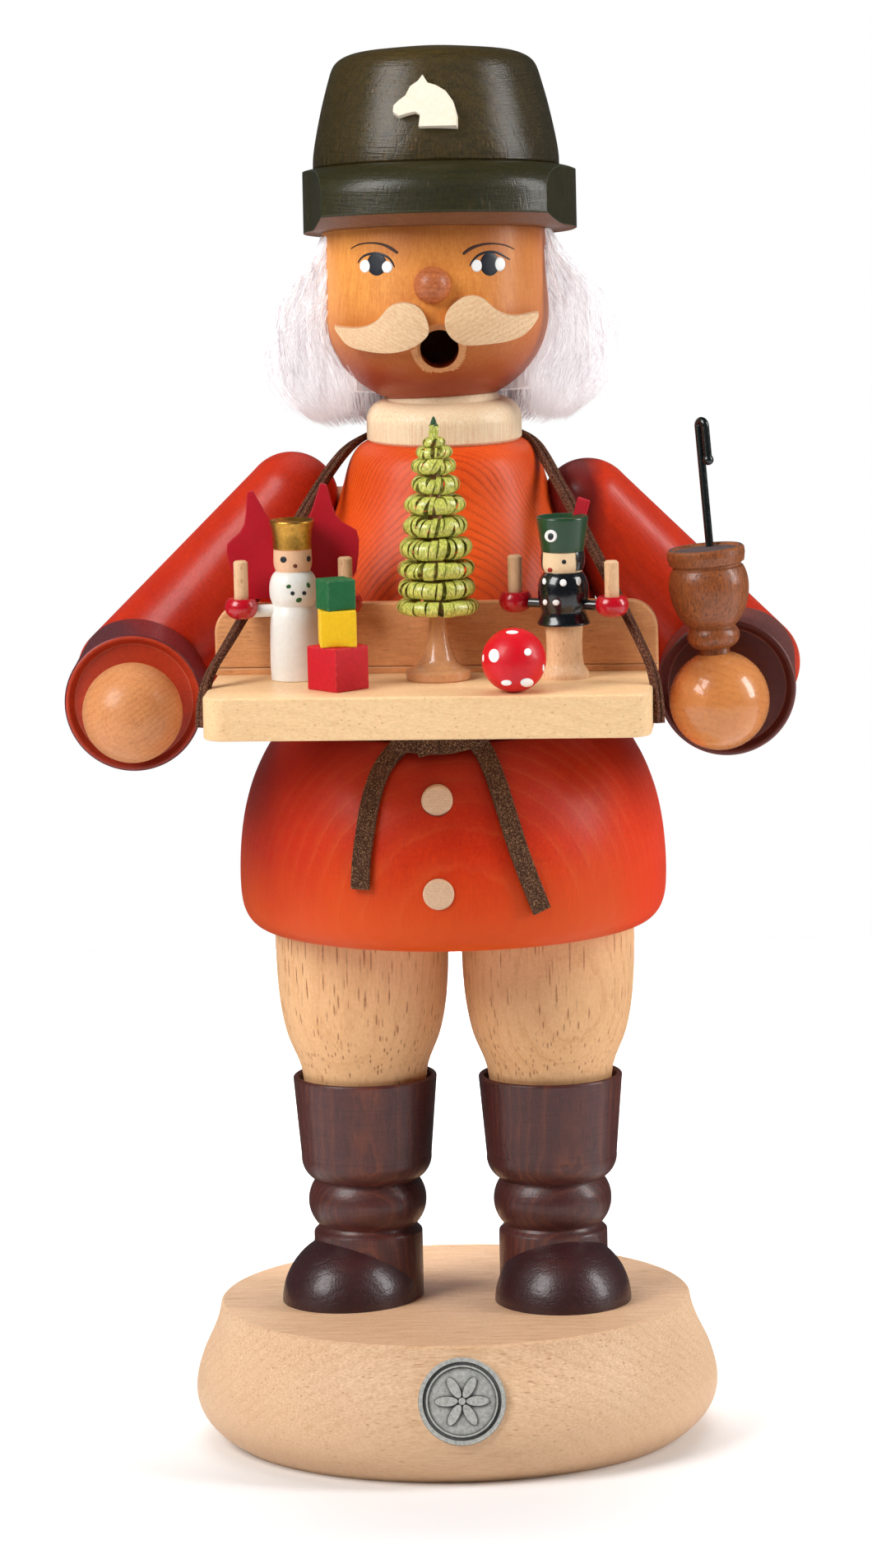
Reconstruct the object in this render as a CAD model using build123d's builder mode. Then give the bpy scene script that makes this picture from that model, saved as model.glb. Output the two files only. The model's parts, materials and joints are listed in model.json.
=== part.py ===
from build123d import *
import os
from math import sin, cos, tan, radians, sqrt, hypot, atan2, degrees

os.makedirs("parts", exist_ok=True)

# Turned wooden incense smoker: a toy seller on a round base, with a tray of toys.
# Millimetres, +Z up, origin at the middle of the base's underside, front towards -Y.

# ---------------------------------------------------------------- driving dimensions
base_height = 25.0
base_top_radius = 42.4
base_belly_radius = 47.2
base_foot_radius = 41.4

figure_x = 1.2            # the figure stands a little beside the disc's middle
figure_turn = -4.2        # and is glued on turned by this many degrees
leg_spacing = 33.5
leg_radius = 15.5
boot_cuff_radius = 12.9
boot_top = 65.7
coat_bottom = 94.0
coat_radius = 38.2
waist = 130.4             # the coat splits here
spigot_radius = 22.93     # round tenon of the lower coat
socket_radius = 23.0      # its socket in the torso: 0.07 mm radial clearance
spigot_height = 5.0
torso_top = 180.6
duct_radius = 5.0         # smoke duct through neck and head
mouth_radius = 3.4
collar_radius = 13.8
head_radius = 20.0
chin_height = 16.6        # vertical half axis of the rounded chin
head_tilt = 8.0           # head and hat lean back
head_foot = (0.15, -1.5, 186.6)
hat_foot = (0.7, -1.5, 186.6)    # the hat sits a little beside the head's middle
visor_radius = 28.0
hat_band_radius = 24.3
hat_turn = -3.5
cuff_radius = 12.15
shoulder_radius = 8.4
hand_radius = 8.8
tray_width = 77.2
tray_front = -60.3        # distances in front of the figure's axis
tray_back = -28.2
tray_bottom = 135.55
tray_top = 143.05
wall_top = 155.5
wall_thickness = 3.1
strap = 0.8               # radius of the plain tube of a leather lace

# ---------------------------------------------------------------- frames
ft = radians(figure_turn)
fc, fs = cos(ft), sin(ft)


def fig(x, y):
    """a point given in the turned figure's own axes"""
    return (figure_x + x * fc - y * fs, x * fs + y * fc)


def fig3(x, y, z):
    a, b = fig(x, y)
    return (a, b, z)


def fig_plane(z):
    return Plane(origin=(figure_x, 0, z), x_dir=(fc, fs, 0), z_dir=(0, 0, 1))


def lathe(x, y):
    """upright drawing plane through a turning axis at x, y: radius across, height up"""
    return Plane(origin=(x, y, 0), x_dir=(1, 0, 0), z_dir=(0, -1, 0))


def upright(x, y):
    return Axis((x, y, 0), (0, 0, 1))


ht = radians(head_tilt)
hs, hc = sin(ht), cos(ht)
head_up = (0, hs, hc)
head_axis = Axis(head_foot, head_up)
head_plane = Plane(origin=head_foot, x_dir=(1, 0, 0), z_dir=(0, -hc, hs))
hat_axis = Axis(hat_foot, head_up)
hat_plane = Plane(origin=hat_foot, x_dir=(1, 0, 0), z_dir=(0, -hc, hs))


def head_point(x, back, up):
    return (
        head_foot[0] + x,
        head_foot[1] + back * hc + up * hs,
        head_foot[2] - back * hs + up * hc,
    )


def hat_point(x, back, up):
    return (
        hat_foot[0] + x,
        hat_foot[1] + back * hc + up * hs,
        hat_foot[2] - back * hs + up * hc,
    )


def head_level(up, turn=0.0):
    t = radians(turn)
    x_dir = (cos(t), sin(t) * hc, -sin(t) * hs)
    return Plane(origin=hat_point(0.5, 0, up), x_dir=x_dir, z_dir=head_up)


def sub(a, b):
    return tuple(p - q for p, q in zip(a, b))


def unit(v):
    n = sqrt(sum(p * p for p in v))
    return tuple(p / n for p in v)


def mid(a, b, t):
    return tuple(p + (q - p) * t for p, q in zip(a, b))


def along(origin, direction):
    """drawing plane with its y along a slanted turning axis"""
    d = unit(direction)
    side = (1, 0, 0) if abs(d[0]) < 0.8 else (0, 1, 0)
    k = sum(p * q for p, q in zip(side, d))
    x = unit(tuple(p - k * q for p, q in zip(side, d)))
    z = (
        x[1] * d[2] - x[2] * d[1],
        x[2] * d[0] - x[0] * d[2],
        x[0] * d[1] - x[1] * d[0],
    )
    return Plane(origin=origin, x_dir=x, z_dir=z)


# ---------------------------------------------------------------- shared outlines
def torso_outline():
    with BuildSketch(lathe(figure_x, 0)) as s:
        with BuildLine():
            Polyline((13.6, torso_top), (0, torso_top), (0, waist + 0.05), (28.9, waist + 0.05))
            Spline(
                (28.9, waist + 0.05), (29.3, 134.2), (28.9, 139), (27.95, 144), (26.9, 149.3),
                (25.4, 155), (23.4, 160.5), (21.1, 165.5), (18.95, 170.5), (17.9, 174.0),
                (16.8, 177.4), (15.3, 179.6), (13.6, torso_top),
            )
        make_face()
    return s.sketch


def head_outline(grow=0.0):
    with BuildSketch(head_plane) as s:
        with BuildLine():
            EllipticalCenterArc((0, chin_height), head_radius + grow, chin_height + grow, 270, arc_size=90)
            Polyline((head_radius + grow, chin_height), (head_radius + grow, 31.1), (0, 31.1), (0, -grow))
        make_face()
    return s.sketch


def crown_outline():
    with BuildSketch(hat_plane) as s:
        with BuildLine():
            Polyline((0, 63.9), (0, 31.1), (13.95, 31.1), (13.95, 42.3), (21.6, 42.3), (21.9, 42.7))
            Spline(
                (21.9, 42.7), (21.6, 46.3), (20.9, 50.0), (20.1, 53.6), (18.8, 58.4), (17.6, 61.1),
                (15.6, 62.4), (11.5, 63.2), (6.0, 63.75), (0, 63.9),
                tangents=((0.02, 1), (-1, 0)),
            )
        make_face()
    return s.sketch


def coat_outline(grow=0.0):
    """outside of the skirt from hem to waist, moved out by grow"""
    pts = [
        (34.0, 94.0), (35.9, 94.7), (37.2, 96.3), (37.9, 98.4), (38.2, 101.5), (38.1, 107.0),
        (37.1, 114.7), (35.3, 120.75), (32.7, 126.0), (30.7, 129.0), (29.7, waist),
    ]
    return [(r + grow, z) for r, z in pts]


# ================================================================ lower body
# round base disc
with BuildPart() as base_disc:
    with BuildSketch(Plane.XZ):
        with BuildLine():
            Polyline((42.0, base_height), (0, base_height), (0, 0), (40.7, 0), (base_foot_radius, 0.5))
            Spline(
                (base_foot_radius, 0.5), (44.5, 2.9), (46.6, 6.0), (base_belly_radius, 9.0),
                (46.7, 12.6), (45.5, 16.1), (44.2, 18.8), (43.0, 21.9), (base_top_radius, 24.6),
            )
            Line((base_top_radius, 24.6), (42.0, base_height))
        make_face()
    revolve(axis=Axis.Z)
    with BuildSketch(Plane.XY.offset(15)):
        with Locations(fig(-leg_spacing / 2, 0), fig(leg_spacing / 2, 0)):
            Circle(3.0)
    extrude(amount=10, mode=Mode.SUBTRACT)
    # round recess for the coin in the front wall
    medal_tilt = radians(17)
    medal_face = Plane(
        origin=(0.7, -45.75, 15.9), x_dir=(1, 0, 0), z_dir=(0, -cos(medal_tilt), sin(medal_tilt))
    )
    with BuildSketch(medal_face.offset(-2.0)):
        Circle(7.75)
    extrude(amount=8, mode=Mode.SUBTRACT)

# pewter coin with raised rims and a plain six-petal rosette
with BuildPart() as base_medallion:
    with BuildSketch(medal_face.offset(-2.0)):
        Circle(7.7)
    extrude(amount=1.55)
    with BuildSketch(medal_face.offset(-0.45)):
        Circle(7.7)
        Circle(6.95, mode=Mode.SUBTRACT)
        Circle(6.35)
        Circle(6.05, mode=Mode.SUBTRACT)
        with PolarLocations(2.75, 6):
            Ellipse(2.0, 0.85)
        Circle(0.62)
    extrude(amount=0.45)


def turned_boot(x, y):
    with BuildPart() as boot:
        with BuildSketch(lathe(x, y)):
            with BuildLine():
                Polyline((9.7, 37.2), (9.8, 36.9), (9.8, 25.0), (0, 25.0), (0, 64.0), (11.75, 64.0), (11.95, 65.3))
                ThreePointArc((11.95, 65.3), (12.45, 65.75), (12.95, 65.2))
                Line((12.95, 65.2), (11.75, 51.0))
                Spline((11.75, 51.0), (11.55, 49.3), (10.8, 47.9), (9.3, 46.7))
                ThreePointArc((9.3, 46.7), (10.65, 42.6), (8.8, 38.3))
                Polyline((8.8, 38.3), (9.1, 37.8), (9.7, 37.2))
            make_face()
        revolve(axis=upright(x, y))
        with BuildSketch(Plane.XY.offset(25)):
            with Locations((x, y)):
                Circle(3.0)
        extrude(amount=39, mode=Mode.SUBTRACT)
    return boot


boot_left = turned_boot(*fig(-leg_spacing / 2, 0))
boot_right = turned_boot(*fig(leg_spacing / 2, 0))


def toe_cap(x, y, turn, leg):
    """front half of a turned egg, flat underneath, hollowed to fit the boot's shaft"""
    t = radians(turn)
    forward = (sin(t), -cos(t), 0)
    flat = Plane(origin=(x, y, 25.0), x_dir=forward, z_dir=(0, 0, 1))
    with BuildPart() as cap:
        with BuildSketch(flat):
            with BuildLine():
                EllipticalCenterArc((0, 0), 14.4, 12.3, 0, arc_size=90)
                Polyline((0, 12.3), (0, 0), (14.4, 0))
            make_face()
        revolve(axis=Axis((x, y, 25.0), forward))
        with BuildSketch(flat):
            Rectangle(40, 40)
        extrude(amount=-20, mode=Mode.SUBTRACT)
        with BuildSketch(Plane.XY.offset(25)):
            with Locations(leg):
                Circle(9.8)
        extrude(amount=20, mode=Mode.SUBTRACT)
    return cap


toe_cap_left = toe_cap(-18.6, -0.4, -22, fig(-leg_spacing / 2, 0))
toe_cap_right = toe_cap(19.4, -5.4, 4, fig(leg_spacing / 2, 0))


def turned_leg(x, y):
    with BuildPart() as leg:
        with BuildSketch(lathe(x, y)):
            with BuildLine():
                Polyline((leg_radius, coat_bottom), (0, coat_bottom), (0, 64.0), (10.9, 64.0), (11.2, 66.0))
                Spline(
                    (11.2, 66.0), (12.0, 69.0), (13.4, 72.3), (14.4, 75.9), (15.1, 80.5),
                    (leg_radius, 87.0), (leg_radius, coat_bottom),
                )
            make_face()
        revolve(axis=upright(x, y))
        with BuildSketch(Plane.XY.offset(64)):
            with Locations((x, y)):
                Circle(3.0)
        extrude(amount=30, mode=Mode.SUBTRACT)
    return leg


leg_left = turned_leg(*fig(-leg_spacing / 2, 0))
leg_right = turned_leg(*fig(leg_spacing / 2, 0))

# one dowel through base, boot, leg and coat on each side
with BuildPart() as leg_dowels:
    with BuildSketch(Plane.XY.offset(15)):
        with Locations(fig(-leg_spacing / 2, 0), fig(leg_spacing / 2, 0)):
            Circle(3.0)
    extrude(amount=91)

# lower coat with its round tenon, a well for the plate and an air hole from below
button_face = [(-0.1, 121.05), (0.05, 104.95)]
with BuildPart() as coat_skirt:
    with BuildSketch(lathe(figure_x, 0)):
        with BuildLine():
            Polyline(
                (29.7, waist), (spigot_radius, waist), (spigot_radius, waist + spigot_height - 0.4),
                (spigot_radius - 0.4, waist + spigot_height), (17.6, waist + spigot_height),
                (17.2, waist + 3.6), (0, waist + 3.6), (0, coat_bottom), (34.0, coat_bottom),
            )
            Spline(*coat_outline())
        make_face()
    revolve(axis=upright(figure_x, 0))
    with BuildSketch(Plane.XY.offset(coat_bottom)):
        with Locations(fig(-leg_spacing / 2, 0), fig(leg_spacing / 2, 0)):
            Circle(3.0)
    extrude(amount=12, mode=Mode.SUBTRACT)
    with BuildSketch(Plane.XY.offset(coat_bottom)):
        with Locations(fig(0, 20.2)):
            Circle(1.9)
    extrude(amount=45, mode=Mode.SUBTRACT)
    # nail hole under the plate
    with BuildSketch(Plane.XY.offset(waist - 6.0)):
        with Locations(fig(0, 0)):
            Circle(0.6)
    extrude(amount=12, mode=Mode.SUBTRACT)
    # seats of the two wooden buttons
    for dx, z in button_face:
        with BuildSketch(Plane(origin=fig3(dx, -33.0, z), x_dir=(fc, fs, 0), z_dir=(fs, -fc, 0))):
            Circle(2.75)
        extrude(amount=10, mode=Mode.SUBTRACT)

# two button pegs with slightly domed faces
with BuildPart() as coat_buttons:
    for (dx, z), reach in zip(button_face, (2.85, 5.75)):
        with BuildSketch(Plane(origin=fig3(dx, -33.0, z), x_dir=(fc, fs, 0), z_dir=(fs, -fc, 0))):
            Circle(2.75)
        extrude(amount=reach)
    chamfer(coat_buttons.faces().filter_by(Plane(origin=(0, 0, 0), z_dir=(fs, -fc, 0))).sort_by(Axis.Y)[:2].edges(), 0.3)

# dished metal plate that carries the cone, and its nail
with BuildPart() as incense_plate:
    with BuildSketch(lathe(figure_x, 0)):
        with BuildLine():
            Polyline(
                (0.6, waist + 3.6), (15.6, waist + 3.6), (16.8, waist + 4.7), (16.8, waist + 5.1),
                (16.4, waist + 5.1), (15.3, waist + 4.1), (0.6, waist + 4.1), (0.6, waist + 3.6),
            )
        make_face()
    revolve(axis=upright(figure_x, 0))

with BuildPart() as plate_nail:
    with BuildSketch(lathe(figure_x, 0)):
        with BuildLine():
            Polyline(
                (0, waist + 4.8), (0, waist - 5.6), (0.6, waist - 4.6), (0.6, waist + 4.1), (1.7, waist + 4.1),
                (1.5, waist + 4.45), (0.9, waist + 4.7), (0, waist + 4.8),
            )
        make_face()
    revolve(axis=upright(figure_x, 0))

# ================================================================ upper body
# arm geometry: shoulder, elbow and cuff centres
shoulder_l, elbow_l, cuff_l = (-26.3, 2.0, 170.3), (-53.4, 6.0, 137.95), (-54.55, -23.5, 137.7)
shoulder_r, elbow_r, cuff_r = (26.5, 0.0, 168.3), (51.15, 5.0, 138.2), (50.05, -21.0, 137.9)
hand_l, hand_r = (-54.45, -31.0, 137.1), (48.4, -28.5, 136.8)

torso_face = torso_outline()

# hollow upper coat: socket, smoke chamber and duct
with BuildPart() as torso:
    revolve(torso_face, axis=upright(figure_x, 0))
    with BuildSketch(lathe(figure_x, 0)):
        with BuildLine():
            Polyline(
                (0, waist - 1), (socket_radius, waist - 1), (socket_radius, waist + 6.2), (21.6, waist + 6.2),
                (21.6, 141.5), (20.2, 149.0), (17.6, 157.5), (14.0, 165.0), (9.6, 170.5),
                (duct_radius, 173.5), (duct_radius, torso_top + 1), (0, torso_top + 1), (0, waist - 1),
            )
        make_face()
    revolve(axis=upright(figure_x, 0), mode=Mode.SUBTRACT)
    # flat where the tray is glued on
    with BuildSketch(Plane(origin=fig3(0, tray_back, 132.0), x_dir=(fc, fs, 0), z_dir=(0, 0, 1))):
        with Locations((0, -5)):
            Rectangle(40, 10)
    extrude(amount=14, mode=Mode.SUBTRACT)
    for s, p in ((-1, shoulder_l), (1, shoulder_r)):
        with BuildSketch(Plane(origin=(figure_x + s * 8.0, p[1], p[2]), x_dir=(0, 1, 0), z_dir=(s, 0, 0))):
            Circle(2.0)
        extrude(amount=18, mode=Mode.SUBTRACT)

# turned neck ring, dished for the chin
chin = head_outline()
with BuildPart() as collar:
    with BuildSketch(lathe(figure_x, 0)):
        with BuildLine():
            Polyline((duct_radius, 190.5), (duct_radius, torso_top), (13.3, torso_top), (collar_radius, 181.1), (collar_radius, 184.5))
            ThreePointArc((collar_radius, 184.5), (12.7, 186.9), (10.0, 187.95))
            Polyline((10.0, 187.95), (8.6, 190.5), (duct_radius, 190.5))
        make_face()
    revolve(axis=upright(figure_x, 0))
    revolve(chin, axis=head_axis, mode=Mode.SUBTRACT)

# head with rounded chin, smoke bore from below and the mouth drilled into it
mouth_height = 198.35
nose_centre = head_point(-0.6, -20.3, 20.6)
with BuildPart() as head:
    revolve(chin, axis=head_axis)
    with BuildSketch(head_plane):
        with BuildLine():
            Polyline((0, -3), (duct_radius, -3), (duct_radius, 3.5), (7.5, 7.0), (7.5, 15.0), (4.0, 18.5), (0, 18.5), (0, -3))
        make_face()
    revolve(axis=head_axis, mode=Mode.SUBTRACT)
    with BuildSketch(Plane(origin=(0.6, -4.0, mouth_height), x_dir=(1, 0, 0), z_dir=(0, -1, 0))):
        Circle(mouth_radius)
    extrude(amount=20, mode=Mode.SUBTRACT)
    # pale bevel round the mouth
    with BuildSketch(Plane(origin=(0.6, 0, mouth_height), x_dir=(1, 0, 0), z_dir=(0, 0, 1))):
        with BuildLine():
            Polyline((0, -16.2), (3.2, -16.2), (5.2, -20.2), (0, -20.2), (0, -16.2))
        make_face()
    revolve(axis=Axis((0.6, 0, mouth_height), (0, -1, 0)), mode=Mode.SUBTRACT)
    # seat of the nose peg
    with BuildSketch(Plane(origin=head_point(-0.6, -14.0, 20.6), x_dir=(1, 0, 0), z_dir=(0, -hc, hs))):
        Circle(2.0)
    extrude(amount=8, mode=Mode.SUBTRACT)

# round-headed nose peg
with BuildPart() as nose:
    with BuildSketch(Plane(origin=head_point(-0.6, -14.0, 20.6), x_dir=(1, 0, 0), z_dir=(0, -hc, hs))):
        Circle(2.0)
    extrude(amount=6)
    with Locations(nose_centre):
        Sphere(3.3)
    revolve(chin, axis=head_axis, mode=Mode.SUBTRACT)
    with BuildSketch(Plane(origin=head_point(-0.6, -14.0, 20.6), x_dir=(1, 0, 0), z_dir=(0, -hc, hs))):
        Circle(2.0)
    extrude(amount=6)

# moustache halves: cut from a turned shell that hugs the face
moustache_shell = head_outline(2.4)


def px(points, x0, z0, k):
    return [((x - x0) * k, (z0 - z) * k) for x, z in points]


left_half = px(
    [(408.4, 398.4), (432.2, 398.4), (446.3, 395.5), (460.3, 387.1), (474.3, 371.7), (491.2, 366.1),
     (508.0, 370.3), (519.2, 387.1), (520.6, 404.0), (513.6, 412.4), (494.0, 423.6), (471.5, 427.8),
     (446.3, 426.4), (423.8, 420.8), (412.6, 409.6)], 531.0, 412.0, 0.1449)
right_half = px(
    [(541.7, 384.3), (544.5, 404.0), (558.5, 416.6), (586.6, 419.4), (611.8, 418.0), (637.1, 411.0),
     (648.3, 401.2), (655.3, 388.5), (634.3, 387.1), (614.6, 384.3), (600.6, 375.9), (586.6, 363.3),
     (569.7, 359.6), (552.9, 367.5)], 531.0, 412.0, 0.1449)
face_front = Plane(origin=(0.2, -40.0, 200.3), x_dir=(1, 0, 0), z_dir=(0, 1, 0))


def moustache(points):
    """outline seen from the front, x to the right and z up"""
    pts = [(x, -z) for x, z in points]
    with BuildPart() as half:
        revolve(moustache_shell, axis=head_axis)
        revolve(chin, axis=head_axis, mode=Mode.SUBTRACT)
        with BuildSketch(face_front):
            with BuildLine():
                Spline(*pts, periodic=True)
            make_face()
        extrude(amount=38, mode=Mode.INTERSECT)
    return half


moustache_left = moustache(left_half)
moustache_right = moustache(right_half)

# band of fluffy hair round sides and back, as a plain closed solid
with BuildPart() as hair:
    with BuildSketch(hat_plane):
        with BuildLine():
            Polyline((15.0, 30.8), (15.0, 1.0))
            Spline(
                (15.0, 1.0), (20.5, -0.6), (25.5, 2.0), (29.3, 9.5), (28.6, 17.0), (24.5, 25.0), (21.3, 30.0),
                (20.6, 30.8),
            )
            Line((20.6, 30.8), (15.0, 30.8))
        make_face()
    revolve(axis=hat_axis)
    with BuildSketch(head_level(-12)):
        with Locations((0, -33.5)):
            Rectangle(80, 60)
    extrude(amount=60, mode=Mode.SUBTRACT)
    revolve(chin, axis=head_axis, mode=Mode.SUBTRACT)
    with BuildSketch(Plane.XY.offset(170)):
        with Locations((figure_x, 0)):
            Circle(14.2)
    extrude(amount=19.2, mode=Mode.SUBTRACT)

# hat: visor ring with two slanting side cuts, and the crown plugged into it
with BuildPart() as hat_brim:
    with BuildSketch(hat_plane):
        with BuildLine():
            Polyline((21.9, 42.3), (14.0, 42.3), (14.0, 31.1), (24.4, 31.15), (27.7, 32.9), (visor_radius, 33.2), (visor_radius, 36.8))
            EllipticalCenterArc((21.9, 36.8), visor_radius - 21.9, 5.5, 0, arc_size=90)
        make_face()
    revolve(axis=hat_axis)
    with BuildSketch(head_level(28, hat_turn)):
        Circle(hat_band_radius)
        Polygon((-24.27, -1.5), (-16.8, -32), (16.8, -32), (24.27, -1.5), align=None)
    extrude(amount=18, mode=Mode.INTERSECT)

crown_face = crown_outline()
with BuildPart() as hat_crown:
    revolve(crown_face, axis=hat_axis)

# generic horse-head ornament of thin pale wood on the crown
badge_turn, badge_lean = radians(-6.0), radians(12)
badge_x = (cos(badge_turn), sin(badge_turn) * hc, -sin(badge_turn) * hs)
badge_out = (sin(badge_turn), -cos(badge_turn) * hc, cos(badge_turn) * hs)
badge_n = unit(tuple(a * cos(badge_lean) + b * sin(badge_lean) for a, b in zip(badge_out, head_up)))
badge_at = tuple(p + q * 21.9 for p, q in zip(hat_point(0.5, 0, 52.6), badge_out))
horse = [
    (-0.4, 5.0), (-1.2, 3.9), (-2.6, 2.9), (-3.4, 1.3), (-4.6, 0.4), (-5.5, -0.5), (-5.6, -1.6), (-4.6, -2.4),
    (-3.2, -2.0), (-1.7, -1.7), (-0.8, -2.2), (-1.1, -4.4), (5.6, -4.4), (5.6, -2.2), (5.0, 0.0), (3.7, 1.9),
    (2.0, 3.0), (0.5, 3.5),
]
with BuildPart() as hat_badge:
    with BuildSketch(Plane(origin=badge_at, x_dir=badge_x, z_dir=badge_n)):
        Polygon(*horse, align=None)
    extrude(amount=-4.5)
    revolve(crown_face, axis=hat_axis, mode=Mode.SUBTRACT)


def arm_axis(a, b):
    return unit(sub(b, a))


def sleeve(shoulder, elbow, cuff):
    """turned cone with a round shoulder, mitred at the elbow and coped to the torso"""
    d1, d2 = arm_axis(shoulder, elbow), arm_axis(elbow, cuff)
    length = hypot(*sub(elbow, shoulder))
    plane = along(shoulder, d1)
    n = unit(tuple(p + q for p, q in zip(d1, d2)))
    rise = (cuff_radius - shoulder_radius) / length
    with BuildPart() as arm:
        with BuildSketch(plane):
            with BuildLine():
                CenterArc((0, 0), shoulder_radius, 270, 90)
                Polyline((shoulder_radius, 0), (cuff_radius + rise * 18, length + 18), (0, length + 18), (0, -shoulder_radius))
            make_face()
        revolve(axis=Axis(shoulder, d1))
        split(bisect_by=Plane(origin=elbow, z_dir=n), keep=Keep.BOTTOM)
        revolve(torso_face, axis=upright(figure_x, 0), mode=Mode.SUBTRACT)
        s = -1 if shoulder[0] < 0 else 1
        with BuildSketch(Plane(origin=(figure_x + s * 8.0, shoulder[1], shoulder[2]), x_dir=(0, 1, 0), z_dir=(s, 0, 0))):
            Circle(2.0)
        extrude(amount=18, mode=Mode.SUBTRACT)
    return arm


def forearm(shoulder, elbow, cuff, hand):
    """turned cuff end with a shallow dished face, mitred at the elbow"""
    d1, d2 = arm_axis(shoulder, elbow), arm_axis(elbow, cuff)
    n = unit(tuple(p + q for p, q in zip(d1, d2)))
    back = unit(sub(elbow, cuff))
    plane = along(cuff, back)
    length = hypot(*sub(elbow, cuff)) + 20
    with BuildPart() as arm:
        with BuildSketch(plane):
            with BuildLine():
                Polyline((0, 1.2), (10.4, 1.2), (11.1, 0.35))
                ThreePointArc((11.1, 0.35), (11.55, 0.0), (cuff_radius, 0.7))
                Polyline((cuff_radius, 0.7), (cuff_radius, length), (0, length), (0, 1.2))
            make_face()
        revolve(axis=Axis(cuff, back))
        split(bisect_by=Plane(origin=elbow, z_dir=n), keep=Keep.TOP)
        with Locations(hand):
            Sphere(hand_radius, mode=Mode.SUBTRACT)
    return arm


sleeve_left = sleeve(shoulder_l, elbow_l, cuff_l)
sleeve_right = sleeve(shoulder_r, elbow_r, cuff_r)
forearm_left = forearm(shoulder_l, elbow_l, cuff_l, hand_l)
forearm_right = forearm(shoulder_r, elbow_r, cuff_r, hand_r)

with BuildPart() as shoulder_dowels:
    for s, p in ((-1, shoulder_l), (1, shoulder_r)):
        with BuildSketch(Plane(origin=(figure_x + s * 12.6, p[1], p[2]), x_dir=(0, 1, 0), z_dir=(s, 0, 0))):
            Circle(2.0)
        extrude(amount=13.2)

with BuildPart() as hand_left:
    with Locations(hand_l):
        Sphere(hand_radius)

# the right hand is drilled for the pipe's foot
pipe_lean = radians(4.4)
pipe_up = (-sin(pipe_lean), 0, cos(pipe_lean))
pipe_foot = tuple(p + q * 8.2 for p, q in zip(hand_r, pipe_up))
pipe_plane = Plane(origin=pipe_foot, x_dir=(cos(pipe_lean), 0, sin(pipe_lean)), z_dir=(0, -1, 0))
pipe_axis = Axis(pipe_foot, pipe_up)
with BuildPart() as hand_right:
    with Locations(hand_r):
        Sphere(hand_radius)
    with BuildSketch(pipe_plane):
        with BuildLine():
            Polyline((0, -3.5), (1.5, -3.5), (1.5, 0), (2.8, 0), (2.8, 3), (0, 3), (0, -3.5))
        make_face()
    revolve(axis=pipe_axis, mode=Mode.SUBTRACT)

# the wire stem stands behind the middle of the bowl
stem_set = (0.9, 4.3, 0.0)
hook_dir = unit((0.62, -0.78, 0.0))


def stem_point(up, out):
    return tuple(p + q * up + r * out + w for p, q, r, w in zip(pipe_foot, pipe_up, hook_dir, stem_set))


# turned pipe bowl, filled nearly to the rim, with its foot and ring
with BuildPart() as pipe_bowl:
    with BuildSketch(pipe_plane):
        with BuildLine():
            Polyline((0, 18.5), (0, -3.5), (1.5, -3.5), (1.5, 0.0), (2.7, 0.0), (2.6, 1.1))
            ThreePointArc((2.6, 1.1), (4.6, 3.0), (3.9, 4.9))
            Spline((3.9, 4.9), (5.3, 6.4), (6.6, 9.3), (7.0, 12.4), (6.7, 14.4), (6.35, 15.3))
            Polyline((6.35, 15.3), (6.0, 15.6), (6.0, 15.9), (6.6, 16.25), (6.85, 17.6), (6.8, 18.6), (6.45, 18.95), (5.95, 18.95), (5.65, 18.5), (0, 18.5))
        make_face()
    revolve(axis=pipe_axis)
    with BuildSketch(Plane(origin=stem_point(9.0, 0), x_dir=(1, 0, 0), z_dir=pipe_up)):
        Circle(0.72)
    extrude(amount=12, mode=Mode.SUBTRACT)

# wire stem, bent over like a cane
with BuildPart() as pipe_stem:
    with BuildLine() as stem_path:
        a = stem_point(9.0, 0)
        b = stem_point(39.9, 0)
        top = stem_point(40.8, 0.9)
        c = stem_point(39.9, 1.8)
        e = stem_point(34.0, 1.8)
        Line(a, b)
        ThreePointArc(b, top, c)
        Line(c, e)
    with BuildSketch(Plane(origin=a, z_dir=pipe_up)):
        Circle(0.7)
    sweep()
    with Locations(e):
        Sphere(0.95)

# ---------------------------------------------------------------- leather laces
def corner_radii(points):
    """largest arcs that the runs allow"""
    runs = [hypot(*sub(b, a)) for a, b in zip(points, points[1:])]
    out = []
    for i in range(1, len(points) - 1):
        d1, d2 = unit(sub(points[i], points[i - 1])), unit(sub(points[i + 1], points[i]))
        turn = Vector(*d1).get_angle(Vector(*d2))
        out.append(0.45 * min(runs[i - 1], runs[i]) / tan(radians(turn) / 2))
    return out


strap_route = [
    fig3(-39.55, -50.0, 136.6), fig3(-39.75, -49.6, 143.4), fig3(-34.7, -38.0, 151.2), fig3(-27.4, -22.2, 164.3),
    fig3(-19.8, -6.2, 176.8),
    fig3(-15.4, 2.5, 181.0), fig3(-9.6, 13.6, 181.2), fig3(0, 17.3, 180.6), fig3(9.6, 13.6, 181.2),
    fig3(15.4, 2.5, 180.8), fig3(19.3, -6.2, 175.9),
    fig3(26.1, -19.5, 165.5), fig3(35.0, -38.5, 151.5), fig3(39.75, -49.6, 143.4), fig3(39.55, -50.0, 136.6),
]
with BuildPart() as neck_strap:
    with BuildLine() as strap_path:
        FilletPolyline(*strap_route, radius=corner_radii(strap_route))
    with BuildSketch(Plane(origin=strap_route[0], z_dir=unit(sub(strap_route[1], strap_route[0])))):
        Circle(strap)
    sweep()

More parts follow.
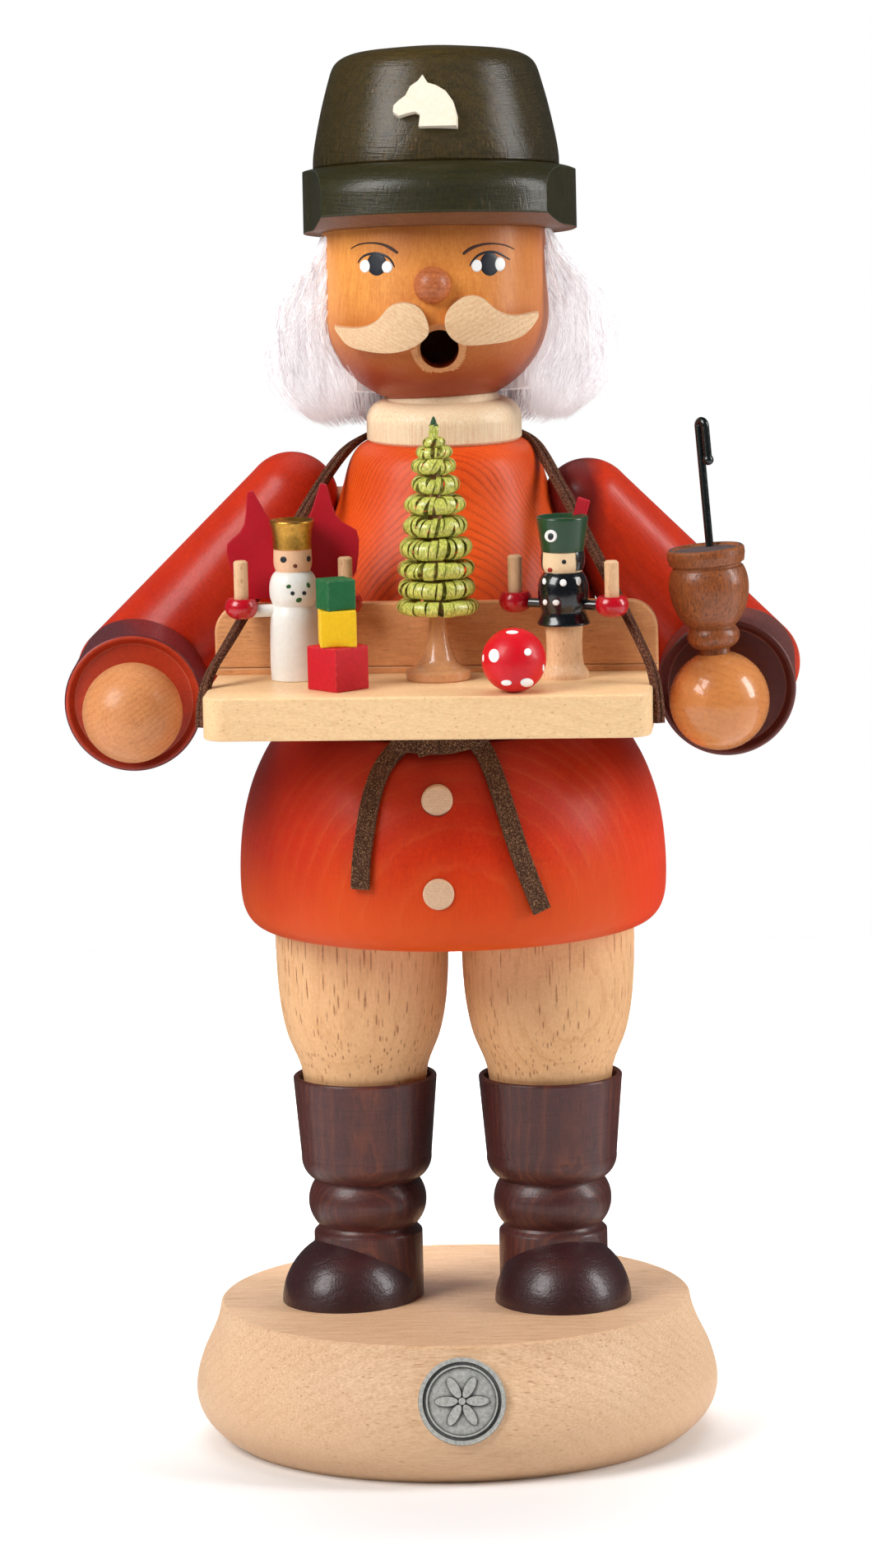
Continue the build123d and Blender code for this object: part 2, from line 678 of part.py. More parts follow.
# belt lace round the waist, on the torso just above the split
with BuildPart() as belt_lace:
    with BuildSketch(lathe(figure_x, 0)):
        with BuildLine():
            Polyline((29.45, 131.0), (30.75, 131.0), (30.75, 134.2), (29.45, 134.2), (29.45, 131.0))
        make_face()
    revolve(axis=upright(figure_x, 0))

# knot in front, and the two hanging ends, which follow the coat a little way off it
lace_out = coat_outline(1.55)
lace_in = coat_outline(0.45)


def lace_end(points, knot=False):
    with BuildPart() as end:
        with BuildSketch(lathe(figure_x, 0)):
            with BuildLine():
                Spline(*lace_out)
                Polyline(lace_out[-1], (lace_out[-1][0], 131.0), (lace_in[-1][0] - 0.05, 131.0), lace_in[-1])
                Spline(*lace_in)
                Line(lace_in[0], lace_out[0])
            make_face()
        revolve(axis=upright(figure_x, 0))
        with BuildSketch(Plane(origin=(0, -60, 0), x_dir=(1, 0, 0), z_dir=(0, -1, 0))):
            Polygon(*points, align=None)
        extrude(amount=-45, mode=Mode.INTERSECT)
    return end


belt_end_left = lace_end(
    [(-6.6, 131.2), (-9.9, 131.2), (-12.9, 126.4), (-15.2, 120.9), (-16.2, 114.5), (-17.1, 106.4), (-13.4, 105.4),
     (-12.7, 112.2), (-11.7, 119.3), (-9.9, 124.6)])
belt_end_right = lace_end(
    [(5.2, 131.2), (8.4, 131.2), (10.6, 125.4), (12.8, 118.4), (14.9, 111.2), (18.1, 102.6), (14.6, 100.9),
     (11.5, 109.4), (9.2, 117.2), (7.0, 124.3)])

with BuildPart() as belt_knot:
    with BuildSketch(Plane(origin=fig3(0, -31.0, 132.0), x_dir=(fc, fs, 0), z_dir=(fs, -fc, 0))):
        RectangleRounded(12.5, 3.6, 1.6)
    extrude(amount=2.0)

# ---------------------------------------------------------------- tray
with BuildPart() as tray_board:
    with BuildSketch(fig_plane(tray_bottom)):
        with Locations((0, (tray_front + tray_back) / 2)):
            Rectangle(tray_width, tray_back - tray_front)
    extrude(amount=tray_top - tray_bottom)
    fillet(tray_board.edges().filter_by(Axis.Z).sort_by(Axis.Y)[:2], 4.0)
    fillet(tray_board.faces().filter_by(Axis.Z).edges(), 0.5)

with BuildPart() as tray_wall:
    wall_plane = Plane(origin=fig3(0, tray_back, tray_top), x_dir=(fc, fs, 0), z_dir=(fs, -fc, 0))
    with BuildSketch(wall_plane):
        with Locations((0, (wall_top - tray_top) / 2)):
            Rectangle(tray_width + 0.4, wall_top - tray_top)
    extrude(amount=wall_thickness)
    fillet(tray_wall.edges().filter_by(Axis(origin=(0, 0, 0), direction=(fs, -fc, 0))).group_by(Axis.Z)[-1], 5.0)
    fillet(tray_wall.faces().sort_by(Axis.Y)[0].edges().sort_by(Axis.Z)[1:], 0.4)
    # shallow scored line just above the foot
    with BuildSketch(wall_plane.offset(wall_thickness - 0.25)):
        with Locations((0, 1.25)):
            Rectangle(tray_width + 2, 0.22)
    extrude(amount=1, mode=Mode.SUBTRACT)

# ---------------------------------------------------------------- curled tree
tree_x, tree_y = -0.72, -38.7
with BuildPart() as tree_foot:
    with BuildSketch(lathe(tree_x, tree_y)):
        with BuildLine():
            Polyline((0, 186.5), (0, tray_top), (5.5, tray_top), (5.7, 143.3), (5.7, 144.6), (5.3, 144.95))
            Spline((5.3, 144.95), (3.6, 145.9), (2.4, 148.2), (1.75, 151.0), (1.45, 154.0))
            Polyline((1.45, 154.0), (1.2, 170.0), (0.8, 184.0), (0, 186.5))
        make_face()
    revolve(axis=upright(tree_x, tree_y))

tiers = [(154.6, 157.2, 7.3), (157.6, 160.8, 6.9), (161.1, 164.0, 6.8), (164.4, 168.0, 6.55), (168.3, 171.8, 5.85),
         (172.2, 175.3, 5.45), (175.7, 178.7, 4.5), (179.1, 181.6, 4.15), (181.8, 183.6, 3.45), (183.7, 185.0, 1.9)]
with BuildPart() as tree_curls:
    with BuildSketch(lathe(tree_x, tree_y)):
        with BuildLine():
            pts = []
            for lo, hi, r in tiers:
                m = (lo + hi) / 2
                pts += [(r * 0.62, lo), (r * 0.93, lo + 0.3), (r, m), (r * 0.93, hi - 0.3), (r * 0.62, hi)]
            Polyline((0, 154.6), *pts, (0.8, 185.6), (0.75, 187.4), (0, 189.0), (0, 154.6))
        make_face()
    revolve(axis=upright(tree_x, tree_y))
    with BuildSketch(lathe(tree_x, tree_y)):
        with BuildLine():
            Polyline((0, 186.5), (0, 150), (1.46, 150), (1.45, 154.0), (1.2, 170.0), (0.8, 184.0), (0, 186.5))
        make_face()
    revolve(axis=upright(tree_x, tree_y), mode=Mode.SUBTRACT)

# ---------------------------------------------------------------- angel with two candles
angel_x, angel_y, angel_turn = -25.7, -35.3, 8.0


def holder_line(x, y, turn, reach, z):
    t = radians(turn)
    return [(x + s * reach * cos(t), y + s * reach * sin(t), z) for s in (-1, 1)]


with BuildPart() as angel_figure:
    with BuildSketch(lathe(angel_x, angel_y)):
        with BuildLine():
            Polyline((0, 170.2), (0, tray_top), (4.2, tray_top), (4.25, 143.4), (4.15, 153.6), (3.5, 155.9))
            ThreePointArc((3.5, 155.9), (4.12, 158.9), (3.0, 161.8))
            Polyline((3.0, 161.8), (3.2, 162.3), (3.2, 165.9), (3.4, 166.1), (3.5, 167.8), (3.85, 170.8), (3.55, 171.1), (2.9, 170.2), (0, 170.2))
        make_face()
    revolve(axis=upright(angel_x, angel_y))
    t = radians(angel_turn)
    with BuildSketch(Plane(origin=(angel_x - 6 * cos(t), angel_y - 6 * sin(t), 155.3), z_dir=(cos(t), sin(t), 0))):
        Circle(1.1)
    extrude(amount=12, mode=Mode.SUBTRACT)


def arm_rod(x, y, turn, reach, z, r, name):
    t = radians(turn)
    with BuildPart() as rod:
        with BuildSketch(Plane(origin=(x - reach * cos(t), y - reach * sin(t), z), z_dir=(cos(t), sin(t), 0))):
            Circle(r)
        extrude(amount=2 * reach)
    return rod


def cup(x, y, z0, rod):
    """little turned drip cup, drilled for the candle"""
    with BuildPart() as one:
        with BuildSketch(lathe(x, y)):
            with BuildLine():
                Polyline((1.25, z0 + 1.6), (1.25, z0 + 3.6), (2.3, z0 + 3.6))
                ThreePointArc((2.3, z0 + 3.6), (2.9, z0 + 2.3), (1.5, z0 + 0.1))
                Polyline((1.5, z0 + 0.1), (0, z0), (0, z0 + 1.6), (1.25, z0 + 1.6))
            make_face()
        revolve(axis=upright(x, y))
        add(rod.part, mode=Mode.SUBTRACT)
    return one


def peg(x, y, z0, z1):
    with BuildPart() as one:
        with BuildSketch(Plane.XY.offset(z0)):
            with Locations((x, y)):
                Circle(1.25)
        extrude(amount=z1 - z0)
        chamfer(one.edges().sort_by(Axis.Z)[-1], 0.3)
    return one


angel_arms = arm_rod(angel_x, angel_y, angel_turn, 7.6, 155.3, 1.1, "angel_arms")
(ax0, ay0, _), (ax1, ay1, _) = holder_line(angel_x, angel_y, angel_turn, 9.15, 0)
angel_cup_a, angel_cup_b = cup(ax0, ay0, 154.0, angel_arms), cup(ax1, ay1, 154.0, angel_arms)
with BuildPart() as angel_cups:
    add(angel_cup_a.part)
    add(angel_cup_b.part)
angel_peg_a, angel_peg_b = peg(ax0, ay0, 155.6, 164.2), peg(ax1, ay1, 155.6, 164.2)
with BuildPart() as angel_candles:
    add(angel_peg_a.part)
    add(angel_peg_b.part)

# pair of wings sawn from one thin board, behind the shoulders
wing_t = radians(4)
wing_plane = Plane(origin=(angel_x, angel_y + 5.45, 0), x_dir=(cos(wing_t), sin(wing_t), 0), z_dir=(sin(wing_t), -cos(wing_t), 0))
wing_half = [(0, 157.0), (8.6, 157.4), (10.6, 160.4), (11.3, 163.5), (11.6, 165.8), (11.35, 167.4), (10.2, 168.3),
             (8.9, 169.2), (8.0, 170.6), (7.5, 172.6), (7.15, 174.9), (6.9, 176.0), (5.9, 176.2), (5.2, 174.6), (4.0, 171.8),
             (2.2, 168.4), (0, 166.0)]
wing_lean = radians(4.5)
with BuildPart() as angel_wings:
    with BuildSketch(wing_plane):
        wings = [(-x, z) for x, z in wing_half] + [(x, z) for x, z in reversed(wing_half[1:-1])]
        Polygon(*[
            (x * cos(wing_lean) - (z - 165) * sin(wing_lean), 165 + x * sin(wing_lean) + (z - 165) * cos(wing_lean))
            for x, z in wings
        ], align=None)
    extrude(amount=1.4)
    add(angel_figure.part, mode=Mode.SUBTRACT)

# ---------------------------------------------------------------- candle-holding miner
miner_x, miner_y, miner_turn = 21.2, -39.7, -26.0
with BuildPart() as miner_figure:
    with BuildSketch(lathe(miner_x, miner_y)):
        with BuildLine():
            Polyline((0, 170.3), (0, tray_top), (4.2, tray_top), (4.2, 143.6), (3.3, 145.3), (3.1, 152.2), (3.3, 152.6), (4.5, 152.7), (4.5, 153.1), (3.7, 154.9))
            ThreePointArc((3.7, 154.9), (4.4, 158.2), (3.3, 161.3))
            Polyline((3.3, 161.3), (3.55, 161.9), (3.6, 165.0), (3.6, 165.2), (3.8, 165.4), (4.55, 170.9), (4.2, 171.2), (3.6, 170.5), (0, 170.3))
        make_face()
    revolve(axis=upright(miner_x, miner_y))
    t = radians(miner_turn)
    with BuildSketch(Plane(origin=(miner_x - 6 * cos(t), miner_y - 6 * sin(t), 155.9), z_dir=(cos(t), sin(t), 0))):
        Circle(0.85)
    extrude(amount=12, mode=Mode.SUBTRACT)

miner_arms = arm_rod(miner_x, miner_y, miner_turn, 7.75, 155.9, 0.85, "miner_arms")
(mx0, my0, _), (mx1, my1, _) = holder_line(miner_x, miner_y, miner_turn, 9.25, 0)
miner_cup_a, miner_cup_b = cup(mx0, my0, 154.1, miner_arms), cup(mx1, my1, 154.0, miner_arms)
with BuildPart() as miner_cups:
    add(miner_cup_a.part)
    add(miner_cup_b.part)
miner_peg_a, miner_peg_b = peg(mx0, my0, 155.7, 164.1), peg(mx1, my1, 155.6, 163.8)
with BuildPart() as miner_candles:
    add(miner_peg_a.part)
    add(miner_peg_b.part)

with BuildPart() as miner_plume:
    with BuildSketch(Plane(origin=(miner_x + 3.3, miner_y + 3.6, 0), x_dir=(cos(t), sin(t), 0), z_dir=(sin(t), -cos(t), 0))):
        Polygon((-1.9, 168.3), (0.2, 167.9), (1.9, 173.5), (-0.1, 174.1), align=None)
    extrude(amount=0.9)
    add(miner_figure.part, mode=Mode.SUBTRACT)

# ---------------------------------------------------------------- toy blocks and ball
def cube(x, y, z, side, turn):
    t = radians(turn)
    with BuildPart() as block:
        with BuildSketch(Plane(origin=(x, y, z), x_dir=(cos(t), sin(t), 0), z_dir=(0, 0, 1))):
            Rectangle(side, side)
        extrude(amount=side)
        chamfer(block.edges(), 0.18)
    return block


block_red = cube(-18.1, -48.3, tray_top, 7.6, 42.6)
block_yellow = cube(-18.05, -48.4, tray_top + 7.6, 6.3, 4.0)
block_green = cube(-18.2, -48.3, tray_top + 13.9, 5.3, 24.0)

ball_radius = 5.55
with BuildPart() as toy_ball:
    with Locations((12.2, -56.6, tray_top + ball_radius)):
        Sphere(ball_radius)

# ---------------------------------------------------------------- labels and files
pieces = {
    "base_disc": base_disc, "base_medallion": base_medallion, "boot_left": boot_left, "boot_right": boot_right,
    "toe_cap_left": toe_cap_left, "toe_cap_right": toe_cap_right, "leg_left": leg_left, "leg_right": leg_right,
    "leg_dowels": leg_dowels, "coat_skirt": coat_skirt, "coat_buttons": coat_buttons,
    "incense_plate": incense_plate, "plate_nail": plate_nail, "torso": torso, "collar": collar, "head": head,
    "nose": nose, "moustache_left": moustache_left, "moustache_right": moustache_right, "hair": hair,
    "hat_brim": hat_brim, "hat_crown": hat_crown, "hat_badge": hat_badge, "sleeve_left": sleeve_left,
    "sleeve_right": sleeve_right, "forearm_left": forearm_left, "forearm_right": forearm_right,
    "shoulder_dowels": shoulder_dowels, "hand_left": hand_left, "hand_right": hand_right,
    "pipe_bowl": pipe_bowl, "pipe_stem": pipe_stem, "neck_strap": neck_strap, "belt_lace": belt_lace,
    "belt_knot": belt_knot, "belt_end_left": belt_end_left, "belt_end_right": belt_end_right,
    "tray_board": tray_board, "tray_wall": tray_wall, "tree_foot": tree_foot, "tree_curls": tree_curls,
    "angel_figure": angel_figure, "angel_arms": angel_arms, "angel_cups": angel_cups,
    "angel_candles": angel_candles, "angel_wings": angel_wings, "miner_figure": miner_figure,
    "miner_arms": miner_arms, "miner_cups": miner_cups, "miner_candles": miner_candles,
    "miner_plume": miner_plume, "block_red": block_red, "block_yellow": block_yellow,
    "block_green": block_green, "toy_ball": toy_ball,
}
for name, piece in pieces.items():
    piece.part.label = name
    export_step(piece.part, f"parts/{name}.step")
print(len(pieces), "pieces")
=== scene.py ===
import bpy, bmesh, json, math, random
import numpy as np
from math import sin, cos, tan, pi, radians, sqrt, hypot, atan2
from mathutils import Vector, Matrix, noise
from mathutils.bvhtree import BVHTree


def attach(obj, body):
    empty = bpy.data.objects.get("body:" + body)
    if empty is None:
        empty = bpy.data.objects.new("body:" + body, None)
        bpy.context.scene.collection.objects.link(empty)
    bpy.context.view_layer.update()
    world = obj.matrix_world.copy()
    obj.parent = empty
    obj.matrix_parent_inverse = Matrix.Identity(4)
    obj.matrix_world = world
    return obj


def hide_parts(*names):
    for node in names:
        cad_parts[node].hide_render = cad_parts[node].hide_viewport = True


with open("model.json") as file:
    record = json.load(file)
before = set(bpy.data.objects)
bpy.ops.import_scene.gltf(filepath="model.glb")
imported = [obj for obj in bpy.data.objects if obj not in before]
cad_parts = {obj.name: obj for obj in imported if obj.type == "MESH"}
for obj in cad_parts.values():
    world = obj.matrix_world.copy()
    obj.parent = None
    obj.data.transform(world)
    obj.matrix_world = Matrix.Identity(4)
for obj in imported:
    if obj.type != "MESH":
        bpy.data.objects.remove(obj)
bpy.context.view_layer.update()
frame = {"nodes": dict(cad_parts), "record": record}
NODES = frame["nodes"]
scene = bpy.context.scene
MM = 0.001
UP, LOW = "upper_body", "lower_body"

# ------------------------------------------------------------------ camera
AIM = Vector((-1.6, 0.0, 118.5)) * MM
DIST, ELEV, ROLL, FPX = 1400 * MM, radians(8.9), radians(1.2), 9491.0
FWD = Vector((0, cos(ELEV), -sin(ELEV)))
RIGHT = Vector((1, 0, 0)) * cos(ROLL) - Vector((0, sin(ELEV), cos(ELEV))) * sin(ROLL)
UPV = Vector((1, 0, 0)) * sin(ROLL) + Vector((0, sin(ELEV), cos(ELEV))) * cos(ROLL)
EYE = AIM - FWD * DIST
cam_data = bpy.data.cameras.new("camera")
cam = bpy.data.objects.new("camera", cam_data)
scene.collection.objects.link(cam)
cam.matrix_world = Matrix((
    (RIGHT.x, UPV.x, -FWD.x, EYE.x), (RIGHT.y, UPV.y, -FWD.y, EYE.y), (RIGHT.z, UPV.z, -FWD.z, EYE.z), (0, 0, 0, 1)))
cam_data.sensor_width = 36.0
cam_data.lens = FPX / 1906 * 36.0
cam_data.clip_start, cam_data.clip_end = 0.05, 20.0
scene.camera = cam


def pixel_ray(u, v):
    """direction from the eye through a point of the 1060 x 1906 picture"""
    return (FWD + RIGHT * ((u - 530.0) / FPX) + UPV * ((953.0 - v) / FPX)).normalized()


# ------------------------------------------------------------------ colours and node helpers
def lin(c):
    """0-255 display colour to linear"""
    out = []
    for x in c:
        x /= 255.0
        out.append(x / 12.92 if x <= 0.04045 else ((x + 0.055) / 1.055) ** 2.4)
    return (*out, 1.0)


class Tree:
    def __init__(self, name):
        self.mat = bpy.data.materials.new(name)
        self.mat.use_nodes = True
        self.t = self.mat.node_tree
        self.t.nodes.clear()
        self.out = self.t.nodes.new("ShaderNodeOutputMaterial")
        self.bsdf = self.t.nodes.new("ShaderNodeBsdfPrincipled")
        self.t.links.new(self.bsdf.outputs[0], self.out.inputs[0])

    def n(self, kind, **kw):
        node = self.t.nodes.new(kind)
        for k, v in kw.items():
            setattr(node, k, v)
        return node

    def link(self, a, b):
        self.t.links.new(a, b)

    def put(self, sock, v):
        if isinstance(v, bpy.types.NodeSocket):
            self.link(v, sock)
        else:
            sock.default_value = v

    def math(self, op, a, b=None, c=None, clamp=False):
        m = self.n("ShaderNodeMath", operation=op, use_clamp=clamp)
        self.put(m.inputs[0], a)
        if b is not None:
            self.put(m.inputs[1], b)
        if c is not None:
            self.put(m.inputs[2], c)
        return m.outputs[0]

    def vec(self, op, a, b=None, scale=None):
        m = self.n("ShaderNodeVectorMath", operation=op)
        self.put(m.inputs[0], a)
        if b is not None:
            self.put(m.inputs[1], b)
        if scale is not None:
            m.inputs["Scale"].default_value = scale
        return m.outputs["Value"] if op in ("LENGTH", "DOT_PRODUCT", "DISTANCE") else m.outputs[0]

    def mapping(self, v, loc=(0, 0, 0), rot=(0, 0, 0), scale=(1, 1, 1)):
        m = self.n("ShaderNodeMapping")
        self.link(v, m.inputs[0])
        m.inputs["Location"].default_value = loc
        m.inputs["Rotation"].default_value = rot
        m.inputs["Scale"].default_value = scale
        return m.outputs[0]

    def noise(self, v, scale=1.0, detail=2.0, rough=0.5, distortion=0.0, colour=False):
        m = self.n("ShaderNodeTexNoise")
        self.link(v, m.inputs["Vector"])
        m.inputs["Scale"].default_value = scale
        m.inputs["Detail"].default_value = detail
        m.inputs["Roughness"].default_value = rough
        m.inputs["Distortion"].default_value = distortion
        return m.outputs["Color" if colour else "Fac"]

    def ramp(self, f, stops, interp="LINEAR"):
        m = self.n("ShaderNodeValToRGB")
        m.color_ramp.interpolation = interp
        els = m.color_ramp.elements
        while len(els) < len(stops):
            els.new(0.5)
        for e, (p, c) in zip(els, stops):
            e.position = p
            e.color = c if isinstance(c, tuple) and len(c) == 4 else (c, c, c, 1)
        self.link(f, m.inputs[0])
        return m.outputs[0]

    def mix(self, f, a, b, mode="MIX"):
        m = self.n("ShaderNodeMix", data_type="RGBA", blend_type=mode)
        m.clamp_result = False
        self.put(m.inputs[0], f)
        self.put(m.inputs[6], a)
        self.put(m.inputs[7], b)
        return m.outputs[2]

    def remap(self, v, a, b, c=0.0, d=1.0, clamp=True):
        m = self.n("ShaderNodeMapRange", clamp=clamp)
        self.link(v, m.inputs[0])
        for i, x in enumerate((a, b, c, d)):
            m.inputs[i + 1].default_value = x
        return m.outputs[0]

    def coords(self):
        """object coordinates in millimetres"""
        tc = self.n("ShaderNodeTexCoord")
        return self.mapping(tc.outputs["Object"], scale=(1000, 1000, 1000))

    def edge(self, radius, samples=4):
        """0 on flat and gently curved surface, 1 on a tight edge"""
        b = self.n("ShaderNodeBevel", samples=samples)
        b.inputs["Radius"].default_value = radius * MM
        g = self.n("ShaderNodeNewGeometry")
        d = self.vec("DOT_PRODUCT", b.outputs[0], g.outputs["Normal"])
        return self.remap(d, 0.985, 0.80, 0.0, 1.0), b.outputs[0]


def wood(name, light, dark, *, rot=(0, 0, 0), pith=(0, 120, 0), ring=0.8, ring_amt=0.5, warp=3.0, warp_scale=0.03,
         ring_dark=None, fibre_amt=0.35, fibre=(5.0, 5.0, 0.22), fleck=0.0, fleck_col=None, fleck_cell=(1.1, 1.1, 5.2),
         blotch=0.35, blotch_scale=0.045, rough=0.42, coat=0.25, coat_rough=0.18, spec=0.32, bump=0.25,
         edge_wear_and_lighting_col=None, edge_amt=0.0, edge_r=0.35, shade=None, seed=0.0, cross=0.0, score=None, turned=0.3,
         fleck_r=(0.27, 0.13), coat_bump=0.0, wave=0.9):
    """growth rings round an upright pith line, long fibres, short dark rays, uneven stain, and painted shade and
    painted light from the shade bands and edge colours
    """
    t = Tree(name)
    p0 = t.coords()
    p = t.mapping(p0, loc=(seed, seed * 1.7, seed * 0.6), rot=rot)
    big = t.noise(p, warp_scale, 2.0, 0.5)
    off = t.mapping(p, loc=(-pith[0] - seed, -pith[1] - seed * 1.7, 0), scale=(1, 1, 0.0))
    dist = t.vec("LENGTH", off)
    tilt = t.n("ShaderNodeSeparateXYZ")
    t.link(p, tilt.inputs[0])
    dist = t.math("MULTIPLY_ADD", tilt.outputs[2], pith[2] if len(pith) > 2 else 0.0, dist)
    wob = t.math("MULTIPLY", t.math("SUBTRACT", big, 0.5), warp * 2)
    wob2 = t.math("MULTIPLY", t.math("SUBTRACT", t.noise(t.mapping(p, scale=(0.5, 0.5, 0.12)), 1.0, 3.0), 0.5), ring * wave)
    n = t.math("DIVIDE", t.math("ADD", t.math("ADD", dist, wob), wob2), ring)
    fr = t.math("FRACT", n)
    rings = t.ramp(fr, [(0.0, 0.15), (0.45, 0.0), (0.80, 0.45), (0.93, 1.0), (1.0, 0.15)])
    strength = t.remap(t.noise(p, 0.11, 2.0), 0.30, 0.66, 0.25, 1.0)
    rings = t.math("MULTIPLY", rings, strength)
    fib = t.noise(t.mapping(p, scale=fibre), 1.0, 4.0, 0.62)
    fibs = t.remap(fib, 0.34, 0.68)
    col = t.mix(t.math("MULTIPLY", fibs, fibre_amt), lin(light), lin(dark))
    col = t.mix(t.math("MULTIPLY", rings, ring_amt), col, lin(ring_dark or dark))
    height = t.math("SUBTRACT", t.math("MULTIPLY", fibs, 0.5), t.math("MULTIPLY", rings, 0.6))
    if fleck:
        v = t.n("ShaderNodeTexVoronoi", feature="F1")
        jig = t.noise(t.mapping(p, scale=(0.7, 0.7, 0.2)), 1.0, 1.0, colour=True)
        fp = t.vec("ADD", t.mapping(p, scale=tuple(1.0 / c for c in fleck_cell)), t.vec("SCALE", jig, scale=0.45))
        t.link(fp, v.inputs["Vector"])
        v.inputs["Scale"].default_value = 1.0
        v.inputs["Randomness"].default_value = 1.0
        dash = t.remap(v.outputs["Distance"], fleck_r[0], fleck_r[1])
        sep = t.n("ShaderNodeSeparateColor")
        t.link(v.outputs["Color"], sep.inputs[0])
        dash = t.math("MULTIPLY", dash, t.remap(sep.outputs[0], 0.25, 0.75))
        col = t.mix(t.math("MULTIPLY", dash, fleck), col, lin(fleck_col or dark))
        height = t.math("SUBTRACT", height, t.math("MULTIPLY", dash, 0.8))
    if cross:
        chk = t.noise(t.mapping(p, scale=(0.22, 0.22, 4.2)), 1.0, 3.0, 0.7)
        chk = t.remap(chk, 0.58, 0.70)
        col = t.mix(t.math("MULTIPLY", chk, cross), col, lin(dark))
    if turned:
        tl = t.noise(t.mapping(p, scale=(0.14, 0.14, 2.4)), 1.0, 4.0, 0.7)
        height = t.math("ADD", height, t.math("MULTIPLY", tl, turned * 2.0))
        col = t.mix(t.remap(tl, 0.50, 0.66, 0.0, min(0.4, turned * 0.5)), col, lin(dark))
    bl = t.noise(t.mapping(p, scale=(1, 1, 0.6)), blotch_scale, 3.0, 0.55)
    col = t.mix(t.remap(bl, 0.36, 0.68, 0.0, blotch), col, lin(dark))
    mot = t.noise(p, 1.6, 3.0, 0.6)
    col = t.mix(t.remap(mot, 0.42, 0.75, 0.0, 0.22), col, lin([min(255, c * 1.12 + 6) for c in light]))
    # each shade entry blends a colour in along one axis of the piece, with a ragged border; many entries are painted
    # shade or painted light, as said at those materials
    for axis, lo, hi, c2, amt in shade or ():
        s = t.n("ShaderNodeSeparateXYZ")
        t.link(p0, s.inputs[0])
        f = t.remap(t.math("ADD", s.outputs[axis], t.math("MULTIPLY", t.math("SUBTRACT", bl, 0.5), 14.0)), lo, hi, 0.0, amt)
        col = t.mix(f, col, lin(c2))
    if score:
        s = t.n("ShaderNodeSeparateXYZ")
        t.link(p0, s.inputs[0])
        f = t.math("ABSOLUTE", t.math("SUBTRACT", s.outputs[2], score[0]))
        f = t.math("MULTIPLY", t.remap(f, score[1], score[1] * 0.4), t.remap(t.noise(p0, 0.4, 2.0), 0.35, 0.6, 0.45, 1.0))
        col = t.mix(f, col, lin(score[2]))
        height = t.math("SUBTRACT", height, f)
    normal = None
    # edge colour: a pale one is painted highlight on rounded edges, partly real stain worn thin there; a dark one is
    # painted edge shade
    if edge_amt:
        e, normal = t.edge(edge_r)
        col = t.mix(t.math("MULTIPLY", e, edge_amt), col, lin(edge_wear_and_lighting_col or light))
    b = t.n("ShaderNodeBump")
    b.inputs["Strength"].default_value = bump
    b.inputs["Distance"].default_value = 0.10 * MM
    t.link(height, b.inputs["Height"])
    if normal is not None:
        t.link(normal, b.inputs["Normal"])
    t.link(col, t.bsdf.inputs["Base Color"])
    t.link(b.outputs[0], t.bsdf.inputs["Normal"])
    if coat_bump:
        b2 = t.n("ShaderNodeBump")
        b2.inputs["Strength"].default_value = coat_bump
        b2.inputs["Distance"].default_value = 0.10 * MM
        t.link(height, b2.inputs["Height"])
        t.link(b2.outputs[0], t.bsdf.inputs["Coat Normal"])
    t.link(t.remap(fib, 0.3, 0.7, rough - 0.05, rough + 0.10), t.bsdf.inputs["Roughness"])
    t.bsdf.inputs["Specular IOR Level"].default_value = spec
    t.bsdf.inputs["Coat Weight"].default_value = coat
    t.bsdf.inputs["Coat Roughness"].default_value = coat_rough
    return t.mat


def paint(name, colour, *, rough=0.30, coat=0.4, wear=None, speck=0.10, metallic=0.0, grain=0.0):
    """toy paint: a little uneven, with brush marks and faint wood underneath"""
    t = Tree(name)
    p = t.coords()
    m = t.noise(p, 1.3, 3.0, 0.6)
    f = t.noise(t.mapping(p, scale=(4, 4, 0.5)), 1.0, 3.0, 0.6)
    d = [c * 0.72 for c in colour]
    col = t.mix(t.remap(m, 0.35, 0.7, 0.0, speck * 3), lin(colour), lin(d))
    col = t.mix(t.remap(f, 0.45, 0.75, 0.0, grain), col, lin(d))
    e, normal = t.edge(0.32)
    if wear:
        rub = t.math("MULTIPLY", e, t.remap(t.noise(p, 2.2, 2.0), 0.40, 0.62))
        col = t.mix(t.math("MULTIPLY", rub, 0.8), col, lin(wear))
    b = t.n("ShaderNodeBump")
    b.inputs["Strength"].default_value = 0.22
    b.inputs["Distance"].default_value = 0.08 * MM
    t.link(t.math("ADD", m, t.math("MULTIPLY", f, 0.6)), b.inputs["Height"])
    t.link(normal, b.inputs["Normal"])
    t.link(b.outputs[0], t.bsdf.inputs["Normal"])
    t.link(col, t.bsdf.inputs["Base Color"])
    t.link(t.remap(m, 0.3, 0.7, rough - 0.06, rough + 0.10), t.bsdf.inputs["Roughness"])
    t.bsdf.inputs["Coat Weight"].default_value = coat
    t.bsdf.inputs["Coat Roughness"].default_value = 0.12
    t.bsdf.inputs["Specular IOR Level"].default_value = 0.35
    t.bsdf.inputs["Metallic"].default_value = metallic
    return t.mat


